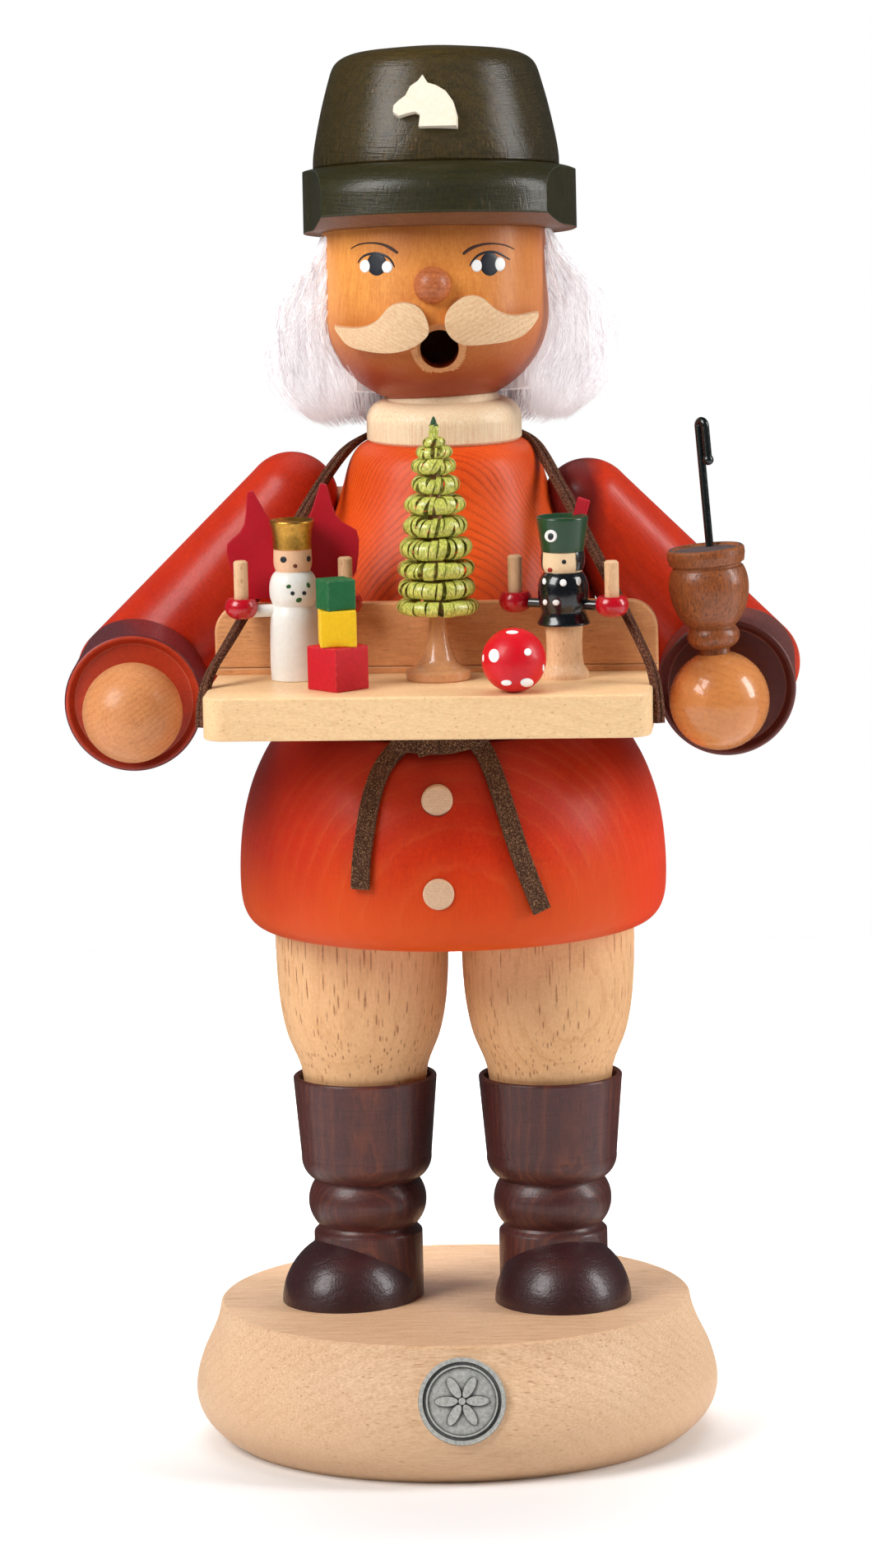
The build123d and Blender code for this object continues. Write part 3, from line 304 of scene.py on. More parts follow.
def suede(name, colour, dark, pale, sheen=0.0):
    t = Tree(name)
    p = t.coords()
    a = t.noise(p, 2.6, 4.0, 0.75)
    s = t.noise(p, 4.2, 1.0, 0.6)
    col = t.mix(t.remap(a, 0.36, 0.64), lin(colour), lin(dark))
    col = t.mix(t.remap(s, 0.54, 0.63, 0.0, 0.85), col, lin(pale))
    e, _ = t.edge(0.3)
    col = t.mix(t.math("MULTIPLY", e, 0.35), col, lin(pale))
    b = t.n("ShaderNodeBump")
    b.inputs["Strength"].default_value = 0.8
    b.inputs["Distance"].default_value = 0.15 * MM
    t.link(t.math("ADD", a, s), b.inputs["Height"])
    t.link(b.outputs[0], t.bsdf.inputs["Normal"])
    t.link(col, t.bsdf.inputs["Base Color"])
    t.bsdf.inputs["Roughness"].default_value = 0.9
    t.bsdf.inputs["Specular IOR Level"].default_value = 0.15
    t.bsdf.inputs["Sheen Weight"].default_value = sheen
    return t.mat


def metal(name, colour, dark, rough, metallic=1.0, cavity=0.0, scratch=0.2):
    t = Tree(name)
    p = t.coords()
    a = t.noise(p, 1.2, 4.0, 0.65)
    col = t.mix(t.remap(a, 0.35, 0.7, 0.0, 0.5), lin(colour), lin(dark))
    if cavity:
        ao = t.n("ShaderNodeAmbientOcclusion", samples=8, only_local=True)
        ao.inputs["Distance"].default_value = 0.9 * MM
        col = t.mix(t.remap(ao.outputs["AO"], 0.92, 0.55, 0.0, cavity), col, lin(dark))
    b = t.n("ShaderNodeBump")
    b.inputs["Strength"].default_value = scratch
    b.inputs["Distance"].default_value = 0.08 * MM
    t.link(t.noise(p, 3.5, 3.0, 0.7), b.inputs["Height"])
    t.link(b.outputs[0], t.bsdf.inputs["Normal"])
    t.link(col, t.bsdf.inputs["Base Color"])
    t.link(t.remap(a, 0.3, 0.7, rough - 0.08, rough + 0.12), t.bsdf.inputs["Roughness"])
    t.bsdf.inputs["Metallic"].default_value = metallic
    return t.mat


# ------------------------------------------------------------------ materials
BEECH_L, BEECH_D = (236, 204, 162), (205, 158, 108)
M = {}
M["beech_base"] = wood("beech_base", (234, 198, 162), (190, 144, 104), rot=(0, radians(90), radians(12)), pith=(60, 40, 0.02),
                       ring=2.2, ring_amt=0.45, fibre=(4, 4, 0.16), fibre_amt=0.75, fleck=0.7, fleck_col=(160, 112, 74),
                       fleck_cell=(0.7, 0.7, 6.5), blotch=0.25, rough=0.50, coat=0.0, bump=0.22, seed=3, cross=0.25, turned=0.0,
                       shade=[(2, 17, 6, (206, 168, 132), 0.55)])
M["beech_leg"] = wood("beech_leg", (232, 184, 134), (198, 142, 94), pith=(4, 60, -0.05), ring=1.6, ring_amt=0.50,
                      ring_dark=(196, 134, 84), fibre_amt=0.45, fleck=0.9, fleck_col=(150, 94, 58), blotch=0.3, rough=0.5,
                      coat=0.0, bump=0.3, seed=11, fleck_cell=(0.62, 0.62, 7.5), turned=0.15, fleck_r=(0.34, 0.20))
M["beech_collar"] = wood("beech_collar", (255, 236, 200), (226, 182, 136), pith=(10, 90, 0), ring=1.1, ring_amt=0.25,
                         fibre_amt=0.75, fibre=(5, 5, 0.10), fleck=0.25, rough=0.42, coat=0.1, seed=21,
                         edge_wear_and_lighting_col=(246, 226, 196), edge_amt=0.4, turned=0.1)
M["moustache_l"] = wood("moustache_l", (250, 216, 176), (214, 164, 118), rot=(0, radians(62), 0), pith=(0, 30, 0), ring=0.7,
                        ring_amt=0.7, fibre_amt=0.7, fibre=(4, 4, 0.35), fleck=0.45, fleck_cell=(0.7, 0.7, 2.4), rough=0.5,
                        coat=0.0, seed=31, edge_wear_and_lighting_col=(248, 228, 192), edge_amt=0.8, edge_r=0.25, turned=0.0)
M["moustache_r"] = wood("moustache_r", (250, 214, 172), (204, 152, 106), rot=(0, radians(-66), 0), pith=(0, 24, 0), ring=0.9,
                        ring_amt=0.8, fibre_amt=0.6, fibre=(4, 4, 0.12), rough=0.5, coat=0.0, seed=37,
                        edge_wear_and_lighting_col=(248, 228, 192), edge_amt=0.8, edge_r=0.25, turned=0.0)
M["hand_l"] = wood("hand_l", (222, 152, 96), (176, 100, 54), rot=(radians(90), 0, radians(25)), pith=(30, 20, 0), ring=1.0,
                   ring_amt=0.5, fibre_amt=0.4, fibre=(3.5, 3.5, 0.5), fleck=0.3, rough=0.42, coat=0.2, seed=41, cross=0.5, turned=0.5)
M["hand_r"] = wood("hand_r", (228, 150, 84), (176, 94, 44), rot=(radians(90), 0, radians(5)), pith=(6, 14, 0), ring=1.2,
                   ring_amt=0.35, fibre_amt=0.35, fibre=(3.5, 3.5, 0.5), fleck=0.25, rough=0.26, coat=0.6, coat_rough=0.08,
                   seed=43, cross=0.35, turned=0.3)
# shade entries: darker red towards the chin, painted shadow of the hat brim across the forehead, and painted shade down
# the right side of the face
M["face"] = wood("face", (240, 164, 80), (198, 102, 40), pith=(14, 70, 0.06), ring=1.5, ring_amt=0.35, fibre_amt=0.5,
                 fibre=(3.2, 3.2, 0.14), blotch=0.4, rough=0.42, coat=0.12, coat_rough=0.25, seed=51,
                 shade=[(2, 207, 191, (150, 54, 26), 0.95), (2, 213, 222, (140, 66, 36), 0.6), (0, 9, 21, (170, 80, 40), 0.55)], turned=0.2, spec=0.25)
M["nose"] = wood("nose", (206, 122, 72), (140, 62, 32), rot=(radians(90), 0, 0.5), pith=(3, 5, 0), ring=0.9, ring_amt=0.6,
                 fibre_amt=0.6, fibre=(3, 3, 1.2), rough=0.42, coat=0.15, seed=53, cross=0.6, turned=0.8)
# shade entries: darker red towards the bottom of the chest and towards both sides, and painted shade in dark maroon
# along the right edge, where the torso meets the right sleeve and the strap
M["coat_up"] = wood("coat_up", (246, 98, 28), (214, 58, 18), pith=(1, 150, -0.02), ring=0.72, ring_amt=0.85, wave=0.3,
                    ring_dark=(112, 24, 10), warp=0.5, warp_scale=0.03, fibre_amt=0.3, blotch=0.5, rough=0.36, coat=0.1,
                    coat_rough=0.22, bump=0.5, seed=0, turned=0.2, spec=0.16,
                    shade=[(2, 158, 136, (196, 50, 28), 0.8), (0, 13, 21, (196, 42, 20), 0.4), (0, -14, -22, (200, 48, 22), 0.3), (0, 21.5, 25.5, (92, 20, 20), 0.9)])
# shade entries: darker towards the left side, more orange towards the hem, dark red along the top that is partly darker
# stain and partly the tray's painted shadow, and painted light as brighter orange-red on the right side
M["coat_low"] = wood("coat_low", (216, 60, 12), (178, 30, 12), pith=(-2, 160, -0.12), ring=2.1, ring_amt=0.28, wave=0.3,
                     ring_dark=(238, 134, 72), warp=0.7, warp_scale=0.03, fibre_amt=0.6, fibre=(4.5, 4.5, 0.2), blotch=0.6, rough=0.40, coat=0.08,
                     coat_rough=0.25, bump=0.3, seed=5,
                     shade=[(0, -8, -36, (160, 36, 24), 0.6), (2, 112, 98, (206, 76, 12), 0.75), (2, 113, 131, (104, 22, 22), 0.65), (0, 26, 37, (232, 50, 18), 0.6)],
                     edge_wear_and_lighting_col=(150, 44, 18), edge_amt=0.4, turned=0.4, spec=0.14)
M["sleeve"] = wood("sleeve", (210, 54, 18), (158, 28, 15), rot=(0, radians(38), 0), pith=(20, 90, 0), ring=2.2, ring_amt=0.25,
                   ring_dark=(150, 36, 16), fibre_amt=0.4, fibre=(3, 3, 0.3), blotch=0.6, rough=0.38, coat=0.12,
                   coat_rough=0.20, seed=61, edge_wear_and_lighting_col=(244, 150, 110), edge_amt=0.5, edge_r=0.3, turned=0.3, spec=0.2)
# right sleeve: the sleeve stain with painted shade in dark maroon on its inner side next to the torso
M["sleeve_r"] = wood("sleeve_r", (210, 54, 18), (158, 28, 15), rot=(0, radians(38), 0), pith=(20, 90, 0), ring=2.2, ring_amt=0.25,
                   ring_dark=(150, 36, 16), fibre_amt=0.4, fibre=(3, 3, 0.3), blotch=0.6, rough=0.38, coat=0.12,
                   coat_rough=0.20, seed=64, edge_wear_and_lighting_col=(244, 150, 110), edge_amt=0.5, edge_r=0.3, turned=0.3, spec=0.2,
                     shade=[(0, 28.2, 24.8, (96, 22, 22), 0.9)])
# the two cuff fronts are lit and shaded copies of one stain: orange-red on the left, with painted shade towards its
# bottom under the tray, and painted shade in dark maroon on the right
M["cuff_l"] = wood("cuff_l", (206, 68, 34), (150, 44, 28), rot=(radians(90), 0, 0), pith=(20, 70, 0), ring=2.0, ring_amt=0.3,
                   fibre_amt=0.5, blotch=0.5, rough=0.34, coat=0.15, coat_rough=0.18, seed=67,
                   edge_wear_and_lighting_col=(240, 170, 140), edge_amt=0.8, edge_r=0.3, shade=[(2, 138, 128, (104, 34, 28), 0.7)], turned=0.2)
M["cuff_l_side"] = wood("cuff_l_side", (112, 44, 48), (66, 24, 30), rot=(radians(90), 0, 0), pith=(20, 70, 0), ring=2.0,
                        ring_amt=0.3, fibre_amt=0.5, blotch=0.5, rough=0.34, coat=0.12, coat_rough=0.16, seed=68,
                        edge_wear_and_lighting_col=(240, 170, 140), edge_amt=0.8, edge_r=0.3, turned=0.2)
M["cuff_r"] = wood("cuff_r", (100, 42, 36), (58, 24, 22), rot=(radians(90), 0, 0), pith=(20, 70, 0), ring=2.0, ring_amt=0.3,
                   fibre_amt=0.5, blotch=0.5, rough=0.36, coat=0.12, coat_rough=0.18, seed=69,
                   edge_wear_and_lighting_col=(222, 150, 124), edge_amt=0.8, edge_r=0.3, turned=0.2)
M["cuff_r_side"] = wood("cuff_r_side", (124, 66, 58), (74, 36, 34), rot=(radians(90), 0, 0), pith=(20, 70, 0), ring=1.6,
                        ring_amt=0.4, fibre_amt=0.6, blotch=0.6, blotch_scale=0.12, rough=0.36, coat=0.12, coat_rough=0.18,
                        seed=70, edge_wear_and_lighting_col=(222, 150, 124), edge_amt=0.8, edge_r=0.3, turned=0.2)
M["boot"] = wood("boot", (84, 40, 36), (38, 18, 20), pith=(-14, 90, -0.10), ring=1.3, ring_amt=0.6, ring_dark=(136, 68, 38),
                 warp=1.5, fibre_amt=0.6, fibre=(4.5, 4.5, 0.16), fleck=0.3, fleck_col=(40, 18, 18), blotch=0.5, rough=0.34,
                 coat=0.3, coat_rough=0.16, bump=0.6, seed=71, edge_wear_and_lighting_col=(110, 66, 60), edge_amt=0.35, turned=0.7, coat_bump=0.15)
M["toe"] = wood("toe", (62, 30, 32), (36, 18, 21), rot=(radians(90), 0, 0), pith=(10, 60, 0), ring=1.6, ring_amt=0.25,
                fibre_amt=0.6, fibre=(2.4, 2.4, 1.6), blotch=0.5, rough=0.34, coat=0.35, coat_rough=0.15, bump=0.7, seed=73, turned=0.5, coat_bump=0.22)
# shade entries: painted light as a warm brown glow towards the base of the crown, and painted shade darkening both
# sides of the crown
M["hat"] = wood("hat", (84, 66, 24), (30, 27, 11), pith=(-12, 80, 0.02), ring=1.5, ring_amt=0.5, ring_dark=(22, 22, 14),
                fibre_amt=0.85, fibre=(4.6, 4.6, 0.08), fleck=0.6, fleck_col=(112, 76, 34), fleck_cell=(0.8, 0.8, 7.0),
                blotch=0.5, rough=0.34, coat=0.40, coat_rough=0.09, bump=0.9, seed=81, spec=0.2, coat_bump=0.24,
                shade=[(2, 229, 224, (112, 74, 32), 0.5), (0, 10, 24, (26, 26, 14), 0.6), (0, -12, -24, (36, 32, 14), 0.5)], turned=1.6)
M["brim"] = wood("brim", (56, 50, 22), (24, 27, 13), pith=(-12, 80, 0.02), ring=1.5, ring_amt=0.4, ring_dark=(25, 30, 28),
                 fibre_amt=0.7, fibre=(5.5, 5.5, 0.10), fleck=0.4, fleck_col=(88, 66, 38), blotch=0.5, rough=0.32,
                 coat=0.38, coat_rough=0.11, bump=0.6, seed=83, edge_wear_and_lighting_col=(120, 140, 118), edge_amt=0.5, turned=1.2, spec=0.2, coat_bump=0.20)
M["brim_under"] = wood("brim_under", (126, 80, 50), (84, 52, 36), pith=(-12, 80, 0.02), ring=1.5, ring_amt=0.4,
                       fibre_amt=0.6, blotch=0.5, rough=0.45, coat=0.1, bump=0.3, seed=85)
M["badge"] = wood("badge", (255, 244, 224), (240, 220, 188), pith=(20, 60, 0), ring=2.0, ring_amt=0.3, fibre_amt=0.35,
                  rough=0.55, coat=0.0, seed=91, edge_wear_and_lighting_col=(150, 120, 84), edge_amt=0.3, edge_r=0.15, turned=0.0)
M["pipe"] = wood("pipe", (176, 98, 48), (80, 40, 22), pith=(60, 40, 0), ring=1.2, ring_amt=0.5, fibre_amt=0.8,
                 fibre=(3.2, 3.2, 0.7), fleck=0.7, fleck_col=(48, 26, 18), fleck_cell=(0.8, 0.8, 1.6), rough=0.36, coat=0.35,
                 coat_rough=0.14, bump=0.6, seed=95, edge_wear_and_lighting_col=(206, 144, 104), edge_amt=0.5, turned=0.4, coat_bump=0.20)
M["pipe_top"] = wood("pipe_top", (98, 80, 78), (62, 50, 50), pith=(60, 40, 0), ring=1.2, ring_amt=0.3, fibre_amt=0.8,
                     fibre=(2.5, 2.5, 2.5), blotch=0.5, rough=0.7, coat=0.0, bump=0.6, seed=96)
M["tray"] = wood("tray", (250, 210, 160), (218, 168, 118), rot=(0, radians(90), radians(-4.2)), pith=(60, 90, 0), ring=1.4,
                 ring_amt=0.3, fibre_amt=0.5, fibre=(4, 4, 0.9), fleck=0.45, fleck_cell=(0.7, 0.7, 1.1),
                 fleck_col=(176, 120, 76), blotch=0.3, rough=0.44, coat=0.15, coat_rough=0.15, bump=0.25, seed=97,
                 edge_wear_and_lighting_col=(250, 226, 184), edge_amt=0.6, edge_r=0.4, turned=0.0)
M["tray_wall"] = wood("tray_wall", (232, 168, 114), (192, 124, 78), rot=(0, radians(90), radians(-4.2)), pith=(60, 90, 0),
                      ring=1.4, ring_amt=0.35, fibre_amt=0.55, fibre=(4, 4, 0.12), fleck=0.35, fleck_cell=(0.9, 0.9, 3.0),
                      fleck_col=(150, 92, 56), blotch=0.35, rough=0.40, coat=0.2, coat_rough=0.15, bump=0.25, seed=99,
                      edge_wear_and_lighting_col=(244, 208, 160), edge_amt=0.8, edge_r=0.5, turned=0.0, score=(139.9, 0.30, (120, 66, 44)))
M["small_beech"] = wood("small_beech", (240, 200, 158), (204, 152, 108), pith=(8, 20, 0), ring=0.8, ring_amt=0.35,
                        fibre_amt=0.6, fibre=(6, 6, 0.4), fleck=0.6, fleck_cell=(0.6, 0.6, 1.8), fleck_col=(134, 84, 46),
                        rough=0.45, coat=0.1, seed=101)
M["tree_foot"] = wood("tree_foot", (220, 162, 114), (186, 126, 82), pith=(8, 20, 0), ring=0.9, ring_amt=0.3, fibre_amt=0.5,
                      fibre=(5, 5, 0.3), rough=0.24, coat=0.8, coat_rough=0.06, seed=103, edge_wear_and_lighting_col=(248, 214, 176),
                      edge_amt=0.4)
M["button"] = wood("button", (226, 192, 160), (176, 132, 100), rot=(radians(90), 0, 0), pith=(9, 6, 0), ring=0.5,
                   ring_amt=0.5, fibre_amt=0.5, fibre=(5, 5, 2.5), rough=0.6, coat=0.0, seed=107,
                   edge_wear_and_lighting_col=(244, 212, 176), edge_amt=0.5, edge_r=0.25)
M["peg_plain"] = wood("peg_plain", (240, 204, 162), (206, 158, 112), seed=109, fleck=0.4)
M["white"] = paint("white", (238, 236, 230), rough=0.38, coat=0.2, speck=0.03, grain=0.06)
M["red"] = paint("red", (190, 8, 30), rough=0.26, coat=0.6, speck=0.08)
M["ball"] = paint("ball", (212, 0, 24), rough=0.46, coat=0.12, speck=0.06)
M["wing_red"] = paint("wing_red", (190, 4, 32), rough=0.5, coat=0.05, speck=0.06)
M["block_red"] = paint("block_red", (206, 16, 36), rough=0.55, coat=0.0, speck=0.10, wear=(236, 120, 100), grain=0.2)
M["block_yellow"] = paint("block_yellow", (246, 196, 14), rough=0.55, coat=0.0, speck=0.06, wear=(252, 226, 120), grain=0.2)
M["block_green"] = paint("block_green", (14, 100, 54), rough=0.55, coat=0.0, speck=0.10, wear=(150, 170, 130), grain=0.2)
M["black"] = paint("black", (14, 17, 22), rough=0.22, coat=0.8, speck=0.03)
M["green_hat"] = paint("green_hat", (28, 66, 38), rough=0.34, coat=0.4, speck=0.05)
M["skin"] = paint("skin", (238, 190, 152), rough=0.4, coat=0.2, speck=0.05)
M["skin_pale"] = paint("skin_pale", (244, 214, 172), rough=0.4, coat=0.2, speck=0.04)
M["gold"] = metal("gold", (214, 160, 74), (130, 88, 32), 0.34, scratch=0.5)
M["white_paint_and_glints"] = paint("white_paint_and_glints", (250, 250, 248), rough=0.4, coat=0.1, speck=0.01)
M["eye_dark"] = paint("eye_dark", (30, 33, 42), rough=0.4, coat=0.15, speck=0.02)
M["brow"] = paint("brow", (66, 42, 34), rough=0.5, coat=0.0, speck=0.05)
M["dot_green"] = paint("dot_green", (44, 92, 40), rough=0.4, coat=0.1, speck=0.04)
M["mouth_red"] = paint("mouth_red", (168, 36, 34), rough=0.4, coat=0.1, speck=0.04)
M["mouth_brown"] = paint("mouth_brown", (110, 46, 30), rough=0.4, coat=0.1, speck=0.04)
M["lace"] = suede("lace", (84, 54, 38), (46, 30, 22), (146, 110, 82))
M["strap"] = suede("strap", (92, 52, 38), (46, 26, 20), (146, 100, 74))
M["wire"] = paint("wire", (14, 19, 19), rough=0.22, coat=0.6, speck=0.03)
M["pewter"] = metal("pewter", (222, 222, 216), (58, 62, 62), 0.42, metallic=0.55, cavity=0.9, scratch=0.35)
M["plate"] = metal("plate", (176, 170, 158), (96, 88, 74), 0.4)

SLOT_OF = {}
for sp in frame["record"]["subparts"]:
    SLOT_OF[sp["node"]] = sp["material_slot"]


def give(node, *mats):
    o = NODES[node]
    o.data.materials.clear()
    for m in mats:
        o.data.materials.append(m)
    if len(mats) == 1:
        o.data.polygons.foreach_set("material_index", [0] * len(o.data.polygons))


for node, key in {
    "base_disc": "beech_base", "base_medallion": "pewter", "boot_left": "boot", "boot_right": "boot",
    "toe_cap_left": "toe", "toe_cap_right": "toe", "leg_left": "beech_leg", "leg_right": "beech_leg",
    "leg_dowels": "peg_plain", "coat_skirt": "coat_low", "coat_buttons": "button", "incense_plate": "plate",
    "plate_nail": "plate", "torso": "coat_up", "collar": "beech_collar", "head": "face", "nose": "nose",
    "moustache_left": "moustache_l", "moustache_right": "moustache_r", "hat_brim": "brim", "hat_crown": "hat",
    "hat_badge": "badge", "sleeve_left": "sleeve", "sleeve_right": "sleeve_r", "forearm_left": "cuff_l_side",
    "forearm_right": "cuff_r_side", "shoulder_dowels": "peg_plain", "hand_left": "hand_l", "hand_right": "hand_r",
    "pipe_bowl": "pipe", "pipe_stem": "wire", "tray_board": "tray", "tray_wall": "tray_wall", "tree_foot": "tree_foot",
    "angel_arms": "white", "angel_cups": "red", "angel_candles": "small_beech", "angel_wings": "wing_red",
    "miner_arms": "black", "miner_cups": "red", "miner_candles": "small_beech", "miner_plume": "wing_red",
    "block_red": "block_red", "block_yellow": "block_yellow", "block_green": "block_green", "toy_ball": "ball",
}.items():
    give(node, M[key])


def two_tone(node, second, test):
    """second stain on the faces that the test picks out"""
    me = NODES[node].data
    me.materials.append(second)
    inv = NODES[node].matrix_world
    for q in me.polygons:
        if test(inv @ q.center / MM, q.normal):
            q.material_index = 1


def cuff_inner(elbow, end):
    axis = (Vector(end) - Vector(elbow)).normalized()

    def test(c, n):
        d = c - Vector(elbow)
        radial = (d - axis * d.dot(axis)).length
        return radial < 11.9 and n.dot(axis) > -0.6
    return test


two_tone("forearm_left", M["cuff_l"], cuff_inner((-53.4, 6.0, 137.95), (-54.55, -23.5, 137.7)))
two_tone("forearm_right", M["cuff_r"], cuff_inner((51.15, 5.0, 138.2), (50.05, -21.0, 137.9)))
M["mouth_rim"] = wood("mouth_rim", (236, 176, 120), (190, 120, 72), ring=0.6, fibre_amt=0.6, rough=0.5, coat=0.0, seed=57)
two_tone("head", M["mouth_rim"], lambda c, n: c.y < -15.5 and 3.3 < hypot(c.x - 0.6, c.z - 198.35) < 4.7 and n.y > -0.92)
two_tone("hat_brim", M["brim_under"], lambda c, n: n.z < -0.75)
two_tone("pipe_bowl", M["pipe_top"], lambda c, n: n.z > 0.9 and c.z > 150)

# rounded tops of the candle pegs
for node in ("angel_candles", "miner_candles"):
    bev = NODES[node].modifiers.new("round", "BEVEL")
    bev.width, bev.segments, bev.limit_method, bev.angle_limit = 0.45 * MM, 4, "ANGLE", radians(50)

# ------------------------------------------------------------------ mesh helpers
FIG_X, TURN = 1.2, radians(-4.2)


def fig(x, y, z):
    return Vector((FIG_X + x * cos(TURN) - y * sin(TURN), x * sin(TURN) + y * cos(TURN), z))


HT = radians(8.0)
FOOT = Vector((0.7, -1.5, 186.6))
HUP = Vector((0, sin(HT), cos(HT)))
HBACK = Vector((0, cos(HT), -sin(HT)))
HX = Vector((1, 0, 0))


def spl(pts, n=8):
    """points on a smooth curve through pts"""
    P = np.array(pts, float)
    d = np.linalg.norm(np.diff(P, axis=0), axis=1)
    m = len(P)
    A, B = np.zeros((m, m)), np.zeros((m, P.shape[1]))
    A[0, 0] = A[-1, -1] = 1
    for i in range(1, m - 1):
        A[i, i - 1], A[i, i], A[i, i + 1] = d[i - 1], 2 * (d[i - 1] + d[i]), d[i]
        B[i] = 6 * ((P[i + 1] - P[i]) / d[i] - (P[i] - P[i - 1]) / d[i - 1])
    S = np.linalg.solve(A, B)
    out = []
    for i in range(m - 1):
        h = d[i]
        for k in range(n):
            t = h * k / n
            out.append(S[i] * (h - t) ** 3 / (6 * h) + S[i + 1] * t**3 / (6 * h)
                       + (P[i] / h - S[i] * h / 6) * (h - t) + (P[i + 1] / h - S[i + 1] * h / 6) * t)
    out.append(P[-1])
    return [tuple(float(x) for x in q) for q in out]


def soften(pts, r=0.25, n=4):
    """rounds the corners of an open profile"""
    out = [pts[0]]
    for a, b, c in zip(pts, pts[1:], pts[2:]):
        a, b, c = Vector(a[:2]), Vector(b[:2]), Vector(c[:2])
        u, v = a - b, c - b
        if u.length < 1e-6 or v.length < 1e-6 or u.angle(v) > radians(160):
            out.append(tuple(b))
            continue
        k = min(r, 0.42 * u.length, 0.42 * v.length)
        p, q = b + u.normalized() * k, b + v.normalized() * k
        for i in range(n + 1):
            t = i / n
            out.append(tuple(p * (1 - t) ** 2 + b * 2 * t * (1 - t) + q * t * t))
    out.append(pts[-1])
    return out


def lathe(bm, prof, origin=(0, 0, 0), up=(0, 0, 1), xd=(1, 0, 0), seg=96, mat=None, wobble=None):
    """turns an open profile of (radius, height), poles where radius is 0"""
    origin, up, xd = Vector(origin), Vector(up).normalized(), Vector(xd)
    xd = (xd - up * xd.dot(up)).normalized()
    yd = up.cross(xd)
    rows = []
    for r, h in prof:
        c = origin + up * h
        if r < 1e-6:
            rows.append([bm.verts.new(c)])
        else:
            rows.append([bm.verts.new(c + xd * (r * cos(a)) + yd * (r * sin(a)))
                         for a in (2 * pi * i / seg for i in range(seg))])
    for i in range(len(rows) - 1):
        a, b = rows[i], rows[i + 1]
        m = mat((prof[i][0] + prof[i + 1][0]) / 2, (prof[i][1] + prof[i + 1][1]) / 2) if mat else 0
        for k in range(seg):
            j = (k + 1) % seg
            if len(a) == 1 and len(b) == 1:
                continue
            if len(a) == 1:
                f = bm.faces.new((a[0], b[k], b[j]))
            elif len(b) == 1:
                f = bm.faces.new((a[k], a[j], b[0]))
            else:
                f = bm.faces.new((a[k], a[j], b[j], b[k]))
            f.material_index = m
    return rows


def make(name, bm, mats, body, repl=(), sharp=38, smooth=True):
    bmesh.ops.recalc_face_normals(bm, faces=bm.faces)
    for v in bm.verts:
        v.co *= MM
    me = bpy.data.meshes.new(name)
    bm.to_mesh(me)
    bm.free()
    for m in mats:
        me.materials.append(m)
    if smooth:
        me.polygons.foreach_set("use_smooth", [True] * len(me.polygons))
        me.set_sharp_from_angle(angle=radians(sharp))
    ob = bpy.data.objects.new(name, me)
    scene.collection.objects.link(ob)
    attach(ob, body)
    if repl:
        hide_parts(*repl)
    return ob


def tree_of(ob):
    me = ob.data
    return BVHTree.FromPolygons([v.co.copy() for v in me.vertices], [tuple(p.vertices) for p in me.polygons])


